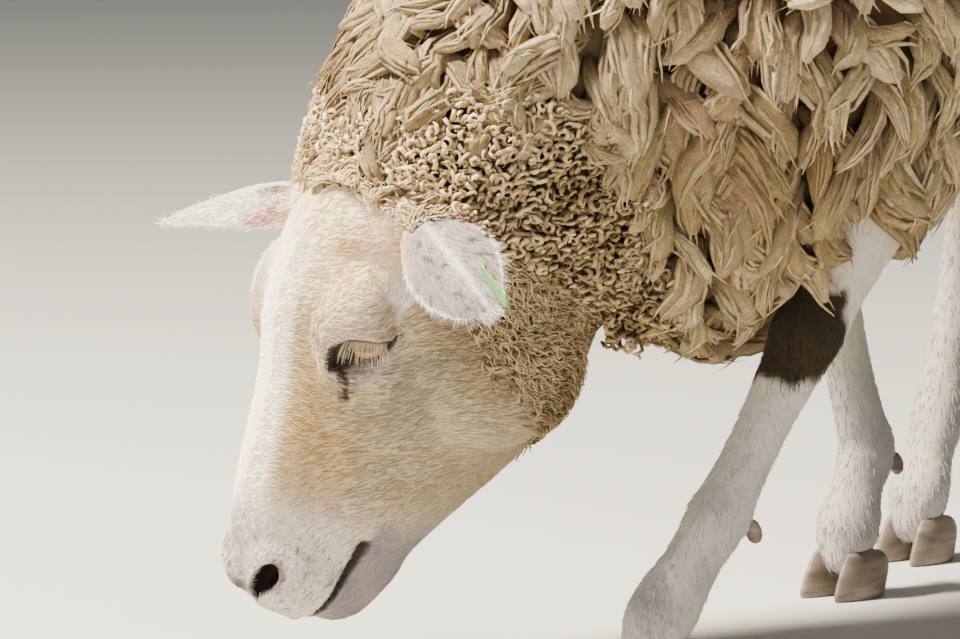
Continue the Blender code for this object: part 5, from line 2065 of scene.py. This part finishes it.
# fibre: fibres to the metre, stretch along the strand, contrast, crimp
# relief: height of the fibres and its strength
# gloss: roughness, specular, sheen
coatFinish = {
    "fleece_wool": {"fibre": (2100, 0.16, 0.9, 0.011), "relief": (0.0016, 1.0), "gloss": (0.90, 0.10, 0.22)},
    "curled_wool": {"fibre": (1700, 0.18, 0.7, 0.007), "relief": (0.0009, 0.8), "gloss": (0.90, 0.10, 0.15)},
    "short_hair": {"fibre": (1500, 0.10, 0.35, 0.0), "relief": (0.0003, 0.5), "gloss": (0.62, 0.25, 0.0)},
    "bare_skin": {"fibre": (700, 1.0, 0.30, 0.0), "relief": (0.0006, 0.6), "gloss": (0.74, 0.12, 0.0)},
}


def eyeMaterial(fibre):
    material, tree, shader = newMaterial("eye_amber", {
        "Roughness": 0.28,
        "Specular IOR Level": 0.3,
        "Coat Weight": 0.55,
        "Coat Roughness": 0.05,
    })
    place = tree.nodes.new("ShaderNodeNewGeometry").outputs["Position"]
    addFibres(tree, shader, fibre, place, (900, 1.0, 0.35, 0.0))
    return material


solidFinish = {
    "hoof_horn": {
        "base": (0.27, 0.215, 0.165),
        "dark": (0.12, 0.092, 0.074),
        "scale": 40,
        "stretch": (1, 1, 4),
        "roughness": 0.5,
        "relief": 0.0003,
        "coat": 0.0,
    },
    "tag_plastic": {
        "base": (0.16, 0.40, 0.10),
        "dark": (0.10, 0.27, 0.06),
        "scale": 160,
        "stretch": (1, 1, 1),
        "roughness": 0.42,
        "relief": 0.0002,
        "coat": 0.3,
    },
}


def solidMaterial(name, look):
    # streaked colour, uneven gloss and fine relief
    material, tree, shader = newMaterial(name, {"Coat Weight": look["coat"]})
    place = tree.nodes.new("ShaderNodeNewGeometry")
    stretched = {"Vector": place.outputs["Position"], "Scale": look["stretch"]}
    shape = addNode(tree, "ShaderNodeMapping", stretched)
    streaks = {"Vector": shape.outputs[0], "Scale": look["scale"], "Detail": 5}
    noise = addNode(tree, "ShaderNodeTexNoise", streaks).outputs["Fac"]
    tones = addNode(tree, "ShaderNodeValToRGB", {"Fac": noise})
    for element, position, colour in zip(tones.color_ramp.elements, (0.30, 0.68), ("dark", "base")):
        element.position = position
        element.color = (*look[colour], 1)
    tree.links.new(tones.outputs["Color"], shader.inputs["Base Color"])
    levels = {"Value": noise, "To Min": look["roughness"] + 0.12, "To Max": look["roughness"] - 0.08}
    gloss = addNode(tree, "ShaderNodeMapRange", levels)
    tree.links.new(gloss.outputs[0], shader.inputs["Roughness"])
    addBump(tree, shader, noise, look["relief"], 0.7)
    return material


# Stage, light and camera

stage = {
    "camera": (2.428, -3.145, 0.668),
    "right": (0.7547, 0.6561, 0.0),
    "up": (-0.0754, 0.0867, 0.9934),
    "back": (0.6517, -0.7497, 0.1149),
    "lens": 225,
    "floor": (0.60, 0.60, 0.58),
    # way to the light, distance, size, power, colour
    "key": ((-0.34, -0.45, 0.81), 3.4, 0.7, 770, (1.0, 0.905, 0.74)),
    "fill": ((0.75, -0.62, 0.25), 3.6, 2.6, 20, (0.92, 0.96, 1.0)),
    "skyColour": (0.90, 0.95, 1.0),
    "sky": 0.20,
}


def areaLight(name, way, distance, size, power, colour):
    light = bpy.data.lights.new(name, "AREA")
    light.energy, light.size, light.color = power, size, colour
    made = newObject(name, light)
    way = Vector(way).normalized()
    place = way.to_track_quat("Z", "Y").to_matrix().to_4x4()
    place.translation = shift + Vector((0, 0, 0.45)) + way * distance
    made.matrix_world = place
    return made


def setStage():
    bm = bmesh.new()
    bmesh.ops.create_grid(bm, x_segments=1, y_segments=1, size=12)
    floor = meshObject("floor", bm)
    paint = newMaterial("floor_paint", {"Base Color": (*stage["floor"], 1), "Roughness": 0.8})[0]
    floor.data.materials.append(paint)
    for name in ("key", "fill"):
        areaLight(name, *stage[name])
    world = bpy.data.worlds.new("sky")
    world.use_nodes = True
    glow = world.node_tree.nodes["Background"]
    glow.inputs["Color"].default_value = (*stage["skyColour"], 1)
    glow.inputs["Strength"].default_value = stage["sky"]
    bpy.context.scene.world = world
    camera = newObject("camera", bpy.data.cameras.new("camera"))
    camera.data.lens = stage["lens"]
    camera.data.clip_end = 100
    place = Matrix([Vector(stage[k]) for k in ("right", "up", "back")]).transposed().to_4x4()
    place.translation = Vector(stage["camera"]) + shift
    camera.matrix_world = place
    bpy.context.scene.camera = camera


flesh = ("head", "neck", "trunk", "tail", "ear_left", "ear_right")
flesh += tuple(f"leg_{name}" for name in legJoints)


def dress(made, material):
    made.data.materials.clear()
    made.data.materials.append(material)


def addStrands(name, sets, material):
    made = strandPiece(name, sets)
    dress(made, material)
    print(name + ":", len(made.data.polygons), "faces")


def build():
    fibre = fibreGroup()
    finishes = {name: coatMaterial(name, fibre, values) for name, values in coatFinish.items()}
    form = buildSkin()
    skin = surfaceOf(form, flesh)
    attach(form, "root")
    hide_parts(*flesh)
    colourPoints(form.data, coatTint(skin["points"]))
    placePoints(form.data, skin["points"])
    dress(form, finishes["bare_skin"])

    middles = skin["middles"]
    covered = 1 - bare(middles)
    head, legs, ears = onHead(middles), onLegs(middles), onEar(middles)
    poll, cheek = pollWool(middles), cheekWool(middles)
    h = toHead(middles)
    faceShare = head * (1 - ears) * (1 - poll) * (1 - cheek) * covered
    faceShare = faceShare * (1 + 0.8 * ramp(0.18, 0.24, h[:, 1]))
    hair = finishes["short_hair"]
    face = growHair(skin, faceShare, "face")
    addStrands("hair_face", [face], hair)
    legHair = growHair(skin, legs, "leg")
    addStrands("hair_legs", [legHair], hair)
    rims = ears * earRim(middles)
    earHair = growHair(skin, ears, "ear")
    rimHair = growHair(skin, rims, "rim")
    addStrands("hair_ears", [earHair, rimHair], hair)

    curled = finishes["curled_wool"]
    addStrands("neck_curls", [growCurls(skin)], curled)
    cheekWoolSet = growTufts(skin, cheek * (1 - poll) * covered, cheekTufts)
    addStrands("cheek_wool", [cheekWoolSet], curled)
    pollWoolSet = growTufts(skin, poll * covered, pollTufts)
    addStrands("poll_wool", [pollWoolSet], curled)

    wool = growFleece(skin)
    lockRoot = wool[0][2]
    each = [len(roots) // len(lockRoot) for _, _, roots in wool]  # strands of each kind to a lock
    for name, chosen in woolRegions(lockRoot).items():
        parts = [chosenOf(kind, np.repeat(chosen, count)) for kind, count in zip(wool, each)]
        addStrands(name, parts, finishes["fleece_wool"])

    amber = eyeMaterial(fibre)
    for side in bothSides:
        dress(eyePiece(side), amber)
        addStrands(f"lashes_{side}", growLashes(side), hair)
    horn = solidMaterial("hoof_horn", solidFinish["hoof_horn"])
    plastic = solidMaterial("tag_plastic", solidFinish["tag_plastic"])
    dress(tagPiece(), plastic)
    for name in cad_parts:
        if "claw" in name:
            dress(clawPiece(name), horn)
    setStage()


build()
